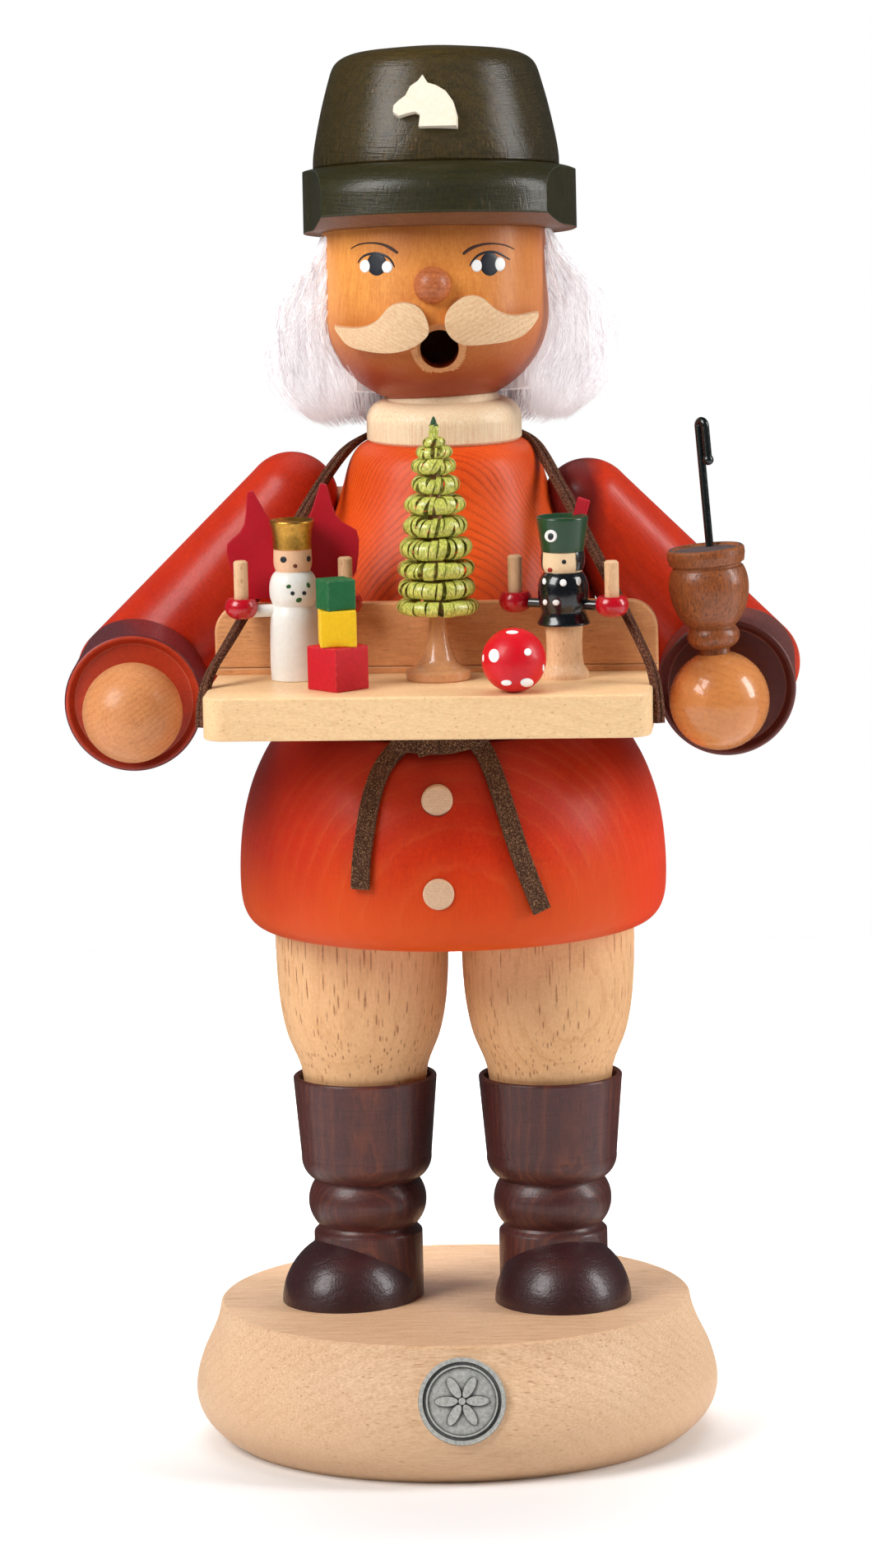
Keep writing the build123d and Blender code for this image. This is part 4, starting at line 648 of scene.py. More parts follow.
class Marks:
    """thin raised paint marks, laid on a surface where the picture shows them"""

    def __init__(self, bvh, lift=0.07):
        self.bvh, self.lift, self.bm = bvh, lift, bmesh.new()

    def hit(self, u, v):
        co, no, _, _ = self.bvh.ray_cast(EYE, pixel_ray(u, v))
        if co is None:
            return None
        if no.dot(pixel_ray(u, v)) > 0:
            no = -no
        return co / MM, no

    def _shell(self, rows, closed):
        """rows of (point, normal) from rim to rim or centre outwards, closed into a thin solid"""
        top, bot = [], []
        n = len(rows)
        for i, row in enumerate(rows):
            top.append([self.bm.verts.new(p + no * (self.lift * h)) for p, no, h in row])
            bot.append([self.bm.verts.new(p - no * 0.05) for p, no, h in row])
        for i in range(n - 1):
            k = len(top[i + 1])
            for j in range(k if closed else k - 1):
                jj = (j + 1) % k
                if len(top[i]) == 1:
                    self.bm.faces.new((top[i][0], top[i + 1][j], top[i + 1][jj]))
                    self.bm.faces.new((bot[i][0], bot[i + 1][jj], bot[i + 1][j]))
                else:
                    self.bm.faces.new((top[i][j], top[i + 1][j], top[i + 1][jj], top[i][jj]))
                    self.bm.faces.new((bot[i][j], bot[i][jj], bot[i + 1][jj], bot[i + 1][j]))
        if closed:
            k = len(top[-1])
            for j in range(k):
                jj = (j + 1) % k
                self.bm.faces.new((top[-1][j], bot[-1][j], bot[-1][jj], top[-1][jj]))
        else:
            k = len(top[0])
            for row_t, row_b in ((top[0], bot[0]), (top[-1], bot[-1])):
                for j in range(k - 1):
                    self.bm.faces.new((row_t[j], row_t[j + 1], row_b[j + 1], row_b[j]))
            for i in range(n - 1):
                for j in (0, k - 1):
                    self.bm.faces.new((top[i][j], top[i + 1][j], bot[i + 1][j], bot[i][j]))

    def outline(self, centre, pts, rings=5):
        cu, cv = centre
        rows = []
        h = self.hit(cu, cv)
        if h is None:
            return
        rows.append([(h[0], h[1], 1.0)])
        for i in range(1, rings + 1):
            t = i / rings
            row = []
            for u, v in pts:
                h = self.hit(cu + (u - cu) * t, cv + (v - cv) * t)
                if h is None:
                    return
                row.append((h[0], h[1], sqrt(max(0.0, 1 - t**3)) * 0.8 + 0.2))
            rows.append(row)
        self._shell(rows, True)

    def ellipse(self, cu, cv, ru, rv, rot=0.0, n=28):
        a = radians(rot)
        self.outline((cu, cv), [(cu + ru * cos(t) * cos(a) - rv * sin(t) * sin(a), cv + ru * cos(t) * sin(a) + rv * sin(t) * cos(a))
                                for t in (2 * pi * i / n for i in range(n))])

    def ring(self, cu, cv, r0, r1, n=28, squash=1.0):
        rows = []
        for k in range(5):
            r = r0 + (r1 - r0) * k / 4
            row = []
            for i in range(n):
                t = 2 * pi * i / n
                h = self.hit(cu + r * cos(t), cv + r * sin(t) * squash)
                if h is None:
                    return
                row.append((h[0], h[1], 1.0 if 0 < k < 4 else 0.3))
            rows.append(row)
        top = [[self.bm.verts.new(p + no * (self.lift * hh)) for p, no, hh in row] for row in rows]
        bot = [[self.bm.verts.new(p - no * 0.05) for p, no, hh in row] for row in rows]
        for i in range(4):
            for j in range(n):
                jj = (j + 1) % n
                self.bm.faces.new((top[i][j], top[i + 1][j], top[i + 1][jj], top[i][jj]))
                self.bm.faces.new((bot[i][j], bot[i][jj], bot[i + 1][jj], bot[i + 1][j]))
        for e in (0, 4):
            for j in range(n):
                jj = (j + 1) % n
                self.bm.faces.new((top[e][j], top[e][jj], bot[e][jj], bot[e][j]))

    def stroke(self, pts, widths, n=10):
        line = spl([(*p, w) for p, w in zip(pts, widths)], n)
        rows = []
        for i, (u, v, w) in enumerate(line):
            a, b = line[max(0, i - 1)], line[min(len(line) - 1, i + 1)]
            d = hypot(b[0] - a[0], b[1] - a[1]) or 1.0
            nx, ny = -(b[1] - a[1]) / d, (b[0] - a[0]) / d
            row = []
            for k in (-1, -0.6, 0, 0.6, 1):
                h = self.hit(u + nx * w / 2 * k, v + ny * w / 2 * k)
                if h is None:
                    return
                row.append((h[0], h[1], 1.0 - 0.7 * abs(k) ** 3))
            rows.append(row)
        self._shell(rows, False)

    def done(self, name, mat, body, slot):
        return make(name, self.bm, [mat], body, sharp=60)


# ------------------------------------------------------------------ painted face
head_bvh = tree_of(NODES["head"])
dark, brow, glint = Marks(head_bvh, 0.07), Marks(head_bvh, 0.06), Marks(head_bvh, 0.12)
dark.ellipse(458.0, 321.0, 11.8, 14.2, n=36)
dark.ellipse(595.4, 321.0, 11.8, 14.2, n=36)
# painted highlights: white catchlights on both sides of each pupil
glint.ellipse(443.8, 323.5, 6.5, 7.8)
glint.ellipse(470.5, 324.5, 6.9, 7.2)
glint.ellipse(579.5, 323.0, 6.4, 7.5)
glint.ellipse(607.5, 321.0, 6.6, 8.6)
lid = Marks(head_bvh, 0.06)
lid.stroke([(435.2, 319.5), (439.8, 313.2), (448.1, 309.0), (456.4, 307.9), (466.3, 309.9), (474.6, 315.7), (479.6, 324.8)],
           [1.4, 2.4, 3.0, 3.2, 3.0, 2.6, 1.4])
lid.stroke([(570.8, 323.4), (575.8, 315.7), (582.4, 309.9), (592.4, 306.5), (602.3, 306.5), (611.4, 310.7), (619.7, 315.7)],
           [1.4, 2.6, 3.0, 3.2, 3.0, 2.4, 1.4])
brow.stroke([(426.8, 302.4), (433, 298.6), (443, 295.9), (456, 295.6), (468, 298.2), (477, 303.0), (483.5, 307.6)],
            [1.2, 1.6, 1.9, 2.3, 3.2, 4.0, 3.0])
brow.stroke([(562.8, 309.0), (570, 303.4), (580, 298.9), (592, 296.4), (604, 296.4), (616, 298.8), (625.0, 303.0)],
            [3.2, 4.0, 3.4, 2.6, 2.0, 1.7, 1.2])
dark.done("eye_pupils", M["eye_dark"], UP, SLOT_OF["miner_arms"])
lid.done("eye_lids", M["eye_dark"], UP, SLOT_OF["miner_arms"])
glint.done("eye_glints", M["white_paint_and_glints"], UP, SLOT_OF["angel_arms"])
brow.done("eyebrows", M["brow"], UP, SLOT_OF["pipe_bowl"])

# ------------------------------------------------------------------ fluffy hair
rnd = random.Random(7)


def ellipse_r(u):
    if u >= 16.6:
        return 20.0
    k = 1 - ((16.6 - u) / 16.6) ** 2
    return 20.0 * sqrt(max(0.0, k))


OUTER = [(31.5, 21.4), (28, 24.2), (24, 27.2), (19, 29.8), (14, 31.4), (9, 31.6), (5, 30.2), (1.5, 27.6), (-1.5, 24.2), (-3.2, 21.5)]


def outer_r(u):
    for (u1, r1), (u2, r2) in zip(OUTER, OUTER[1:]):
        if u >= u2:
            f = (u1 - u) / (u1 - u2)
            f = min(max(f, 0), 1)
            return r1 + (r2 - r1) * f
    return OUTER[-1][1]


def hair_point(az, u, lam, wob=0.0):
    """az from the front round either side, lam 0 at the skin and 1 outermost"""
    ri = max(15.2, ellipse_r(u) + 0.25 - 0.55 * abs(sin(az)))
    tuft = 1 + 0.06 * noise.noise(Vector((az * 5.5, u * 0.35, 2.0)))
    r = ri + (outer_r(u) * tuft - ri) * lam + wob
    return FOOT + HUP * u + HX * (r * sin(az)) - HBACK * (r * cos(az))


bm = bmesh.new()
AZ0 = radians(74)
N_STRAND = 7600
for i in range(N_STRAND):
    side = 1 if i % 2 else -1
    az = AZ0 + (pi - AZ0) * (rnd.random() ** 1.15)
    lam = rnd.random() ** 0.55
    front = max(0.0, 1 - (az - AZ0) / radians(22))
    lam *= 1 - 0.10 * front
    u_top = 31.0 - 14.0 * rnd.random() ** 3
    u_end = -2.6 + 5.0 * rnd.random() ** 2 + 1.5 * (1 - lam) + 1.6 * noise.noise(Vector((az * 11.0, side * 2.0, 4.0)))
    lock = round(az * 26 + rnd.gauss(0, 0.12)) / 26
    drift = rnd.gauss(0, 0.05) + 0.05 + 0.10 * noise.noise(Vector((lock * 9.0, side * 3.0, 0.5))) + 0.7 * (lock - az)
    sway = rnd.uniform(-0.05, 0.05)
    phase = rnd.uniform(0, 2 * pi)
    radius = rnd.uniform(0.05, 0.10)
    stray = rnd.gauss(0, 0.6) if rnd.random() < 0.2 else rnd.gauss(0, 0.2)
    K = 9
    prev = None
    spine = []
    for k in range(K):
        t = k / (K - 1)
        u = u_top + (u_end - u_top) * t
        a = az + drift * t * t + sway * sin(3.5 * t + phase)
        a = min(max(a, AZ0 - 0.02), pi + 0.3)
        l = lam * min(1.0, 0.25 + 2.2 * t) if u_top > 29 else lam * min(1.0, 0.1 + 1.6 * t)
        spine.append(hair_point(side * a, u, l, stray * t * t))
    rows = []
    for k, p in enumerate(spine):
        d = (spine[min(K - 1, k + 1)] - spine[max(0, k - 1)]).normalized()
        x = d.cross(Vector((0.3, 1, 0.2))).normalized()
        y = d.cross(x)
        t = k / (K - 1)
        w = radius * (1 - t) ** 0.5 * (1 if t < 1 else 0) + 0.012
        rows.append([bm.verts.new(p + x * (w * cos(q)) + y * (w * sin(q))) for q in (0, 2 * pi / 3, 4 * pi / 3)])
    for k in range(K - 1):
        for j in range(3):
            jj = (j + 1) % 3
            bm.faces.new((rows[k][j], rows[k][jj], rows[k + 1][jj], rows[k + 1][j]))
    bm.faces.new(rows[0][::-1])
    bm.faces.new(rows[-1])
t = Tree("fur")
p = t.coords()
c = t.noise(t.mapping(p, scale=(3.4, 3.4, 0.3)), 1.0, 2.0, 0.7)
c2 = t.noise(t.mapping(p, scale=(1.1, 1.1, 0.06)), 1.0, 2.0, 0.6)
col = t.mix(t.remap(c, 0.38, 0.68), lin((255, 254, 254)), lin((226, 219, 223)))
col = t.mix(t.remap(c2, 0.50, 0.66, 0.0, 0.75), col, lin((204, 194, 199)))
y = t.n("ShaderNodeSeparateXYZ")
t.link(p, y.inputs[0])
# painted shade: the fur turns greyer towards its back; painted light: its emission makes the front of the fur glow
col = t.mix(t.remap(y.outputs[1], 9.0, 20.0, 0.0, 0.85), col, lin((206, 198, 203)))
t.link(col, t.bsdf.inputs["Base Color"])
t.link(t.remap(y.outputs[1], 14.0, 4.0, 0.0, 0.34), t.bsdf.inputs["Emission Strength"])
t.bsdf.inputs["Roughness"].default_value = 0.55
t.bsdf.inputs["Specular IOR Level"].default_value = 0.1
t.link(col, t.bsdf.inputs["Emission Color"])
M["fur"] = t.mat
hair_fur = make("hair_fur", bm, [M["fur"]], UP, repl=("hair",), smooth=True, sharp=180)

# soft underlayer that closes the gaps
bm = bmesh.new()
NU, NA = 26, 72
grid_o, grid_i = [], []
for i in range(NU + 1):
    u = 30.8 - 27.6 * i / NU
    ro, ri = [], []
    for j in range(NA + 1):
        a = (AZ0 + 0.24) + (2 * pi - 2 * AZ0 - 0.48) * j / NA
        edge = min(j, NA - j) / NA
        lam = 0.55 * min(1.0, 0.25 + edge * 9)
        po = hair_point(a, u, lam)
        po += Vector((0, 0, 0)) + (po - FOOT).normalized() * 0.35 * noise.noise(po * 0.9)
        ro.append(bm.verts.new(po))
        ri.append(bm.verts.new(hair_point(a, u, -0.02)))
    grid_o.append(ro)
    grid_i.append(ri)
for i in range(NU):
    for j in range(NA):
        bm.faces.new((grid_o[i][j], grid_o[i][j + 1], grid_o[i + 1][j + 1], grid_o[i + 1][j]))
        bm.faces.new((grid_i[i][j], grid_i[i + 1][j], grid_i[i + 1][j + 1], grid_i[i][j + 1]))
for j in range(NA):
    bm.faces.new((grid_o[0][j], grid_i[0][j], grid_i[0][j + 1], grid_o[0][j + 1]))
    bm.faces.new((grid_o[-1][j], grid_o[-1][j + 1], grid_i[-1][j + 1], grid_i[-1][j]))
for i in range(NU):
    bm.faces.new((grid_o[i][0], grid_o[i + 1][0], grid_i[i + 1][0], grid_i[i][0]))
    bm.faces.new((grid_o[i][-1], grid_i[i][-1], grid_i[i + 1][-1], grid_o[i + 1][-1]))
make("hair_backing", bm, [M["fur"]], UP, sharp=60)

# ------------------------------------------------------------------ curled shavings of the tree
TX, TY = -0.72, -38.7
TIERS = [(154.6, 157.2, 7.3), (157.6, 160.8, 6.9), (161.1, 164.0, 6.8), (164.4, 168.0, 6.55), (168.3, 171.8, 5.85),
         (172.2, 175.3, 5.45), (175.7, 178.7, 4.5), (179.1, 181.6, 4.15), (181.8, 183.6, 3.45), (183.7, 185.0, 1.9)]
bm = bmesh.new()
rt = random.Random(3)


def curl(bm, az, r, lo, hi, width, slant, turn, squeeze, th=0.11):
    """one thin shaving, still joined to the stick below, curled outwards, up and back in"""
    zc, rr = (lo + hi) / 2, (hi - lo) / 2
    cr = r - rr * squeeze
    path = []
    n = 18
    # from the stick out along the underside, then round the loop
    path.append((1.2, lo + 0.15 * rr))
    path.append((max(1.6, cr * 0.55), lo + 0.02))
    for i in range(n):
        a = -pi / 2 + turn * i / (n - 1)
        k = 1 - 0.16 * i / (n - 1)
        path.append((cr + rr * squeeze * k * cos(a), zc + rr * k * sin(a)))
    rows = []
    for i, (pr, pz) in enumerate(path):
        a0 = path[max(0, i - 1)]
        a1 = path[min(len(path) - 1, i + 1)]
        d = Vector((a1[0] - a0[0], a1[1] - a0[1]))
        d.normalize()
        nr, nz = d.y, -d.x
        f = i / (len(path) - 1)
        w = width * (0.55 + 0.45 * min(1.0, pr / r)) * (1 - 0.25 * max(0, f - 0.8) / 0.2)
        shift = slant * (pz - zc) / rr
        row = []
        for sx, sy in ((-1, 1), (-0.5, 1.35), (0.5, 1.35), (1, 1), (1, -1), (-1, -1)):
            q = az + (sx * w / 2 + shift) / max(pr, 1.0)
            R = pr + nr * th / 2 * sy
            Z = pz + nz * th / 2 * sy
            row.append(bm.verts.new(Vector((TX + R * cos(q), TY + R * sin(q), Z))))
        rows.append(row)
    for a, b in zip(rows, rows[1:]):
        for j in range(6):
            jj = (j + 1) % 6
            bm.faces.new((a[j], a[jj], b[jj], b[j]))
    bm.faces.new(rows[0][::-1])
    bm.faces.new(rows[-1])


for k, (lo, hi, r) in enumerate(TIERS[:-1]):
    loose = k / 8
    slant = (0.1, 0.2, 0.25, 0.35, 0.5, 0.6, 0.6, 0.6, 0.5)[k]
    at, full = rt.uniform(0, 1.0), 2 * pi * r
    end = at + full
    while at < end - 0.6:
        w = rt.choice((rt.uniform(0.8, 1.4), rt.uniform(1.2, 2.2), rt.uniform(1.8, 3.0)))
        w = min(w * (1 - 0.35 * loose), end - at)
        gap = rt.uniform(0.14, 0.30) if rt.random() < 0.72 else rt.uniform(0.5, 0.9)
        curl(bm, (at + w / 2) / r, r + rt.uniform(-0.3, 0.05) - 0.25 * loose * rt.random(), lo + rt.uniform(-0.15, 0.15),
             hi + rt.uniform(-0.25, 0.18) * (1 + loose), w - gap * 0.3, slant * rt.uniform(0.2, 1.6) * rt.choice((1, 1, 1, -0.4)),
             radians(rt.uniform(275, 335)), rt.uniform(1.0, 1.2))
        at += w + gap
for i in range(5):
    curl(bm, 2 * pi * i / 5 + 0.3, 1.95, 183.6, 185.3, 1.5, 0.4, radians(300), 0.8, 0.10)
# last shaving rolled into a tube, with a twisted tip
lathe(bm, [(0.0, 184.6)] + soften([(0.01, 184.6), (0.8, 184.8), (0.78, 187.2), (0.6, 187.3), (0.5, 188.0), (0.25, 188.7), (0.01, 189.0)], 0.12)[1:-1]
      + [(0.0, 189.0)], (TX, TY, 0), seg=24, mat=lambda r, h: 1 if h > 187.25 else 0)
for i in range(3):
    rows = []
    for j in range(13):
        f = j / 12
        a = 2 * pi * i / 3 + f * 2.4
        z = 184.9 + 2.6 * f
        rows.append([bm.verts.new(Vector((TX + rr * cos(a + q), TY + rr * sin(a + q), z)))
                     for q, rr in ((-0.5, 0.80), (0, 0.92), (0.5, 0.86), (0.5, 0.7), (-0.5, 0.7))])
    for a, b in zip(rows, rows[1:]):
        for j in range(5):
            jj = (j + 1) % 5
            bm.faces.new((a[j], a[jj], b[jj], b[j]))
    bm.faces.new(rows[0][::-1])
    bm.faces.new(rows[-1])
t = Tree("shavings")
p = t.coords()
a = t.noise(t.mapping(p, scale=(3, 3, 1.2)), 1.0, 3.0, 0.6)
g = t.noise(t.mapping(p, scale=(7, 7, 0.7)), 1.0, 3.0, 0.6)
col = t.mix(t.remap(a, 0.38, 0.64), lin((232, 228, 118)), lin((158, 168, 60)))
col = t.mix(t.remap(g, 0.50, 0.66, 0.0, 0.6), col, lin((92, 106, 36)))
e, nm = t.edge(0.12)
col = t.mix(t.math("MULTIPLY", e, 0.6), col, lin((52, 62, 22)))
b = t.n("ShaderNodeBump")
b.inputs["Strength"].default_value = 0.4
b.inputs["Distance"].default_value = 0.06 * MM
t.link(g, b.inputs["Height"])
t.link(b.outputs[0], t.bsdf.inputs["Normal"])
t.link(col, t.bsdf.inputs["Base Color"])
t.link(t.remap(a, 0.3, 0.7, 0.26, 0.42), t.bsdf.inputs["Roughness"])
t.bsdf.inputs["Coat Weight"].default_value = 0.3
t.bsdf.inputs["Coat Roughness"].default_value = 0.15
M["shavings"] = t.mat
M["tip_green"] = paint("tip_green", (26, 70, 30), rough=0.5, coat=0.1, speck=0.08)
make("tree_shavings", bm, [M["shavings"], M["tip_green"]], UP, repl=("tree_curls",), sharp=45)

# ------------------------------------------------------------------ laces and straps
def nurbs_line(pts, name):
    """points along a smooth free line with these control points"""
    cu = bpy.data.curves.new(name, "CURVE")
    cu.dimensions = "3D"
    sp = cu.splines.new("NURBS")
    sp.points.add(len(pts) - 1)
    for q, pt in zip(sp.points, pts):
        q.co = (*(Vector(pt) * MM), 1.0)
    sp.order_u = 3
    sp.use_endpoint_u = True
    sp.resolution_u = 16
    ob = bpy.data.objects.new(name, cu)
    scene.collection.objects.link(ob)
    bpy.context.view_layer.update()
    me = bpy.data.meshes.new_from_object(ob.evaluated_get(bpy.context.evaluated_depsgraph_get()))
    line = [v.co.copy() / MM for v in me.vertices]
    bpy.data.objects.remove(ob)
    bpy.data.curves.remove(cu)
    bpy.data.meshes.remove(me)
    return line


def strip(bm, line, normals, width, thick, groove=0.0, seed=1):
    """flat leather with soft edges: an eight-sided section swept along line"""
    rr = random.Random(seed)
    rows = []
    n = len(line)
    for i, p in enumerate(line):
        d = (line[min(n - 1, i + 1)] - line[max(0, i - 1)]).normalized()
        no = normals[i] - d * normals[i].dot(d)
        no.normalize()
        sd = d.cross(no)
        w = width(i / (n - 1)) if callable(width) else width
        jig = 1 + 0.035 * noise.noise(p * 0.55 + Vector((seed, 0, 0)))
        h = thick / 2
        row = []
        for sx, sy in ((-1, -0.45), (-0.93, -0.95), (0, -1.0), (0.93, -0.95), (1, -0.45), (1, 0.45), (0.93, 0.95), (0.22, 1.03),
                       (0, 1.06 - groove), (-0.22, 1.03), (-0.93, 0.95), (-1, 0.45)):
            row.append(bm.verts.new(p + sd * (sx * w / 2 * jig) + no * (sy * h)))
        rows.append(row)
    m = len(rows[0])
    for a, b in zip(rows, rows[1:]):
        for j in range(m):
            jj = (j + 1) % m
            bm.faces.new((a[j], a[jj], b[jj], b[j]))
    bm.faces.new(rows[0][::-1])
    bm.faces.new(rows[-1])


STRAP = [(-39.55, -50.0, 136.6), (-39.75, -49.6, 143.4), (-34.7, -38.0, 151.2), (-27.4, -22.2, 164.3), (-19.8, -6.2, 176.8),
         (-15.4, 2.5, 181.0), (-9.6, 13.6, 181.2), (0, 17.3, 180.6), (9.6, 13.6, 181.2), (15.4, 2.5, 180.8),
         (19.3, -6.2, 175.9), (26.1, -19.5, 165.5), (35.0, -38.5, 151.5), (39.75, -49.6, 143.4), (39.55, -50.0, 136.6)]
route = [fig(*q) for q in STRAP]
line = nurbs_line(route, "strap_route")
normals = []
for p in line:
    s = -1 if p.x < FIG_X else 1
    f = min(max((p.z - 146) / 30, 0), 1)
    tray = Vector((s * 0.75, -0.62, 0.05))
    shoulder = Vector((s * 0.50, -0.62, 0.60))
    neck = Vector((s * 0.15, 0.55, 0.8))
    v = tray.lerp(shoulder, f)
    if p.y > -4:
        v = v.lerp(neck, min(1, (p.y + 4) / 12))
    normals.append(v.normalized())
bm = bmesh.new()
strip(bm, line, normals, 2.2, 1.15, groove=0.8, seed=4)
neck = make("neck_strap_leather", bm, [M["strap"]], UP, repl=("neck_strap",), sharp=50)


# belt lace round the waist, its knot and two hanging ends
def waist_ring(z0, r0, n=120):
    return [Vector((FIG_X + r0 * sin(2 * pi * i / n), -r0 * cos(2 * pi * i / n), z0)) for i in range(n + 1)]


COAT = spl([(34.0, 94.0), (35.9, 94.7), (37.2, 96.3), (37.9, 98.4), (38.2, 101.5), (38.1, 107.0), (37.1, 114.7),
            (35.3, 120.75), (32.7, 126.0), (30.7, 129.0), (29.7, 130.4)], 8)


def coat_r(z):
    for (r1, z1), (r2, z2) in zip(COAT, COAT[1:]):
        if z1 <= z <= z2:
            return r1 + (r2 - r1) * (z - z1) / (z2 - z1)
    return COAT[-1][0] if z > COAT[-1][1] else COAT[0][0]


def on_coat(x, z, off):
    r = coat_r(z) + off
    dx = x - FIG_X
    return Vector((x, -sqrt(max(1.0, r * r - dx * dx)), z))


def coat_normal(p):
    v = Vector((p.x - FIG_X, p.y, 0)).normalized()
    s = (coat_r(p.z + 0.5) - coat_r(p.z - 0.5)) if 95 < p.z < 129.8 else -0.8
    return Vector((v.x, v.y, -s)).normalized()


bm = bmesh.new()
ring = waist_ring(132.6, 30.1)
N = len(ring)
rows = []
for i, p in enumerate(ring[:-1]):
    no = Vector((p.x - FIG_X, p.y, 0)).normalized()
    row = []
    for sz, sn in ((-1, -0.45), (-0.9, -0.95), (0.9, -0.95), (1, -0.45), (1, 0.45), (0.9, 0.95), (0, 1.08), (-0.9, 0.95), (-1, 0.45)):
        row.append(bm.verts.new(p + Vector((0, 0, 1.6 * sz * (1 + 0.05 * noise.noise(p * 0.3)))) + no * (0.62 * sn)))
    rows.append(row)
m = len(rows[0])
for i in range(len(rows)):
    a, b = rows[i], rows[(i + 1) % len(rows)]
    for j in range(m):
        jj = (j + 1) % m
        bm.faces.new((a[j], a[jj], b[jj], b[j]))
make("belt_lace_leather", bm, [M["lace"]], UP, repl=("belt_lace",), sharp=50)


def end_line(pts, off=0.95):
    ctrl = [on_coat(x, z, off) if z < 130.3 else Vector((x, -sqrt(max(1.0, (30.4 + off) ** 2 - (x - FIG_X) ** 2)), z)) for x, z in pts]
    return nurbs_line(ctrl, "lace_route")


for name, pts, repl in (
    ("belt_end_left_leather", [(-3.2, 132.0), (-6.6, 131.2), (-9.2, 128.8), (-11.6, 125.6), (-13.3, 120.6), (-14.3, 115.0),
                               (-15.1, 110.2), (-15.25, 105.7)], "belt_end_left"),
    ("belt_end_right_leather", [(1.8, 132.2), (4.6, 131.6), (6.9, 129.4), (8.9, 124.6), (11.0, 117.6), (13.3, 109.8),
                                (16.5, 101.3)], "belt_end_right"),
):
    line = end_line(pts)
    bm = bmesh.new()
    strip(bm, line, [coat_normal(p) for p in line], 3.45, 1.05, seed=len(name))
    ob = make(name, bm, [M["lace"]], UP, repl=(repl,), sharp=50)

# the flat knot: a loop over and a turn under it
bm = bmesh.new()
over = [(-8.8, 129.6), (-5.0, 129.2), (-1.0, 128.9), (3.0, 129.4), (6.6, 130.8), (9.6, 132.2)]
ctrl = [Vector((x, -sqrt((31.6 + 0.9 * cos((x + 1) / 9)) ** 2 - (x - FIG_X) ** 2), z + 1.4)) for x, z in over]
line = nurbs_line(ctrl, "knot_a")
strip(bm, line, [Vector((p.x * 0.02, -1, 0.15)) for p in line], 3.3, 1.1, seed=5)
ctrl = [Vector((x, -33.3 + 0.06 * abs(x), z)) for x, z in ((-1.2, 134.2), (-2.6, 132.6), (-3.2, 130.6), (-2.8, 128.9))]
line = nurbs_line(ctrl, "knot_b")
strip(bm, line, [Vector((0.05, -1, 0.1)) for p in line], 3.6, 1.0, seed=6)
make("belt_knot_leather", bm, [M["lace"]], UP, repl=("belt_knot",), sharp=50)

# ------------------------------------------------------------------ angel
AX, AY = -25.7, -35.3
bm = bmesh.new()
prof = [(0, 143.05)] + soften([(0.01, 143.05), (4.2, 143.05), (4.3, 146.0), (4.22, 152.6), (4.05, 154.6)], 0.25)[1:]
prof += spl([(4.05, 154.6), (3.66, 155.8), (3.56, 156.1)], 4)[1:]
prof += spl([(3.56, 156.1), (4.05, 157.3), (4.2, 158.9), (3.98, 160.6), (3.42, 161.7), (3.0, 162.1)], 6)[1:]
prof += spl([(3.0, 162.1), (3.28, 163.0), (3.36, 164.4), (3.30, 166.0)], 5)[1:]
prof += soften([(3.30, 166.0), (3.46, 166.15), (3.42, 167.4), (3.55, 169.2), (3.95, 170.8), (3.75, 171.1), (3.3, 170.7), (2.6, 170.3), (0.01, 170.2)], 0.2)[1:-1] + [(0, 170.2)]
lathe(bm, prof, (AX, AY, 0), seg=80, mat=lambda r, h: 0 if h < 162.1 else (1 if h < 166.0 and r > 3.0 else 2))
angel = make("angel_figure_painted", bm, [M["white"], M["skin"], M["gold"]], UP, repl=("angel_figure",),
             sharp=50)
ab = tree_of(angel)
dots = Marks(ab, 0.10)
for u, v, r in ((344.5, 680.3, 3.9), (375.2, 679.3, 3.6), (355.6, 721.3, 2.6), (369.8, 721.0, 2.6)):
    dots.ellipse(u, v, r * (0.65 if u > 374 else 1), r)
dots.done("angel_dark_dots", M["eye_dark"], UP, SLOT_OF["miner_arms"])
dots = Marks(ab, 0.10)
dots.ellipse(358.8, 688.0, 2.7, 2.5)
dots.done("angel_mouth", M["mouth_brown"], UP, SLOT_OF["pipe_bowl"])
dots = Marks(ab, 0.10)
for u, v, ru, rv in ((350.8, 713.0, 3.0, 2.4), (374.8, 711.4, 2.2, 3.4), (363.3, 729.4, 3.8, 2.8)):
    dots.ellipse(u, v, ru, rv, -20)
dots.done("angel_green_dots", M["dot_green"], UP, SLOT_OF["block_green"])

# ------------------------------------------------------------------ miner
MX, MY = 21.2, -39.7
bm = bmesh.new()
prof = [(0, 143.05), (4.25, 143.05)]
prof += spl([(4.25, 143.05), (4.2, 143.9), (3.55, 144.9), (3.2, 146.4), (3.12, 149.0), (3.3, 152.2)], 5)[1:]
prof += [(3.35, 152.35)]
prof += soften([(3.35, 152.35), (4.62, 152.4), (4.66, 152.75), (4.3, 153.3), (3.8, 154.6)], 0.2)[1:]
prof += spl([(3.8, 154.6), (4.22, 156.0), (4.45, 157.9), (4.3, 159.6), (3.75, 161.0), (3.25, 161.6)], 6)[1:]
prof += spl([(3.25, 161.6), (3.6, 162.3), (3.7, 163.6), (3.6, 165.15)], 5)[1:]
prof += soften([(3.6, 165.15), (3.72, 165.2), (3.9, 166.6), (4.25, 169.0), (4.55, 171.0), (4.35, 171.3), (3.9, 171.0), (3.3, 170.5), (0.01, 170.3)], 0.18)[1:-1] + [(0, 170.3)]
lathe(bm, prof, (MX, MY, 0), seg=80,
      mat=lambda r, h: 0 if h < 152.37 else (1 if h < 161.6 else (2 if h < 165.16 and r > 3.1 else 3)))
miner = make("miner_figure_painted", bm, [M["small_beech"], M["black"], M["skin_pale"], M["green_hat"]], UP,
             repl=("miner_figure",), sharp=50)
mb = tree_of(miner)
k = Marks(mb, 0.10)
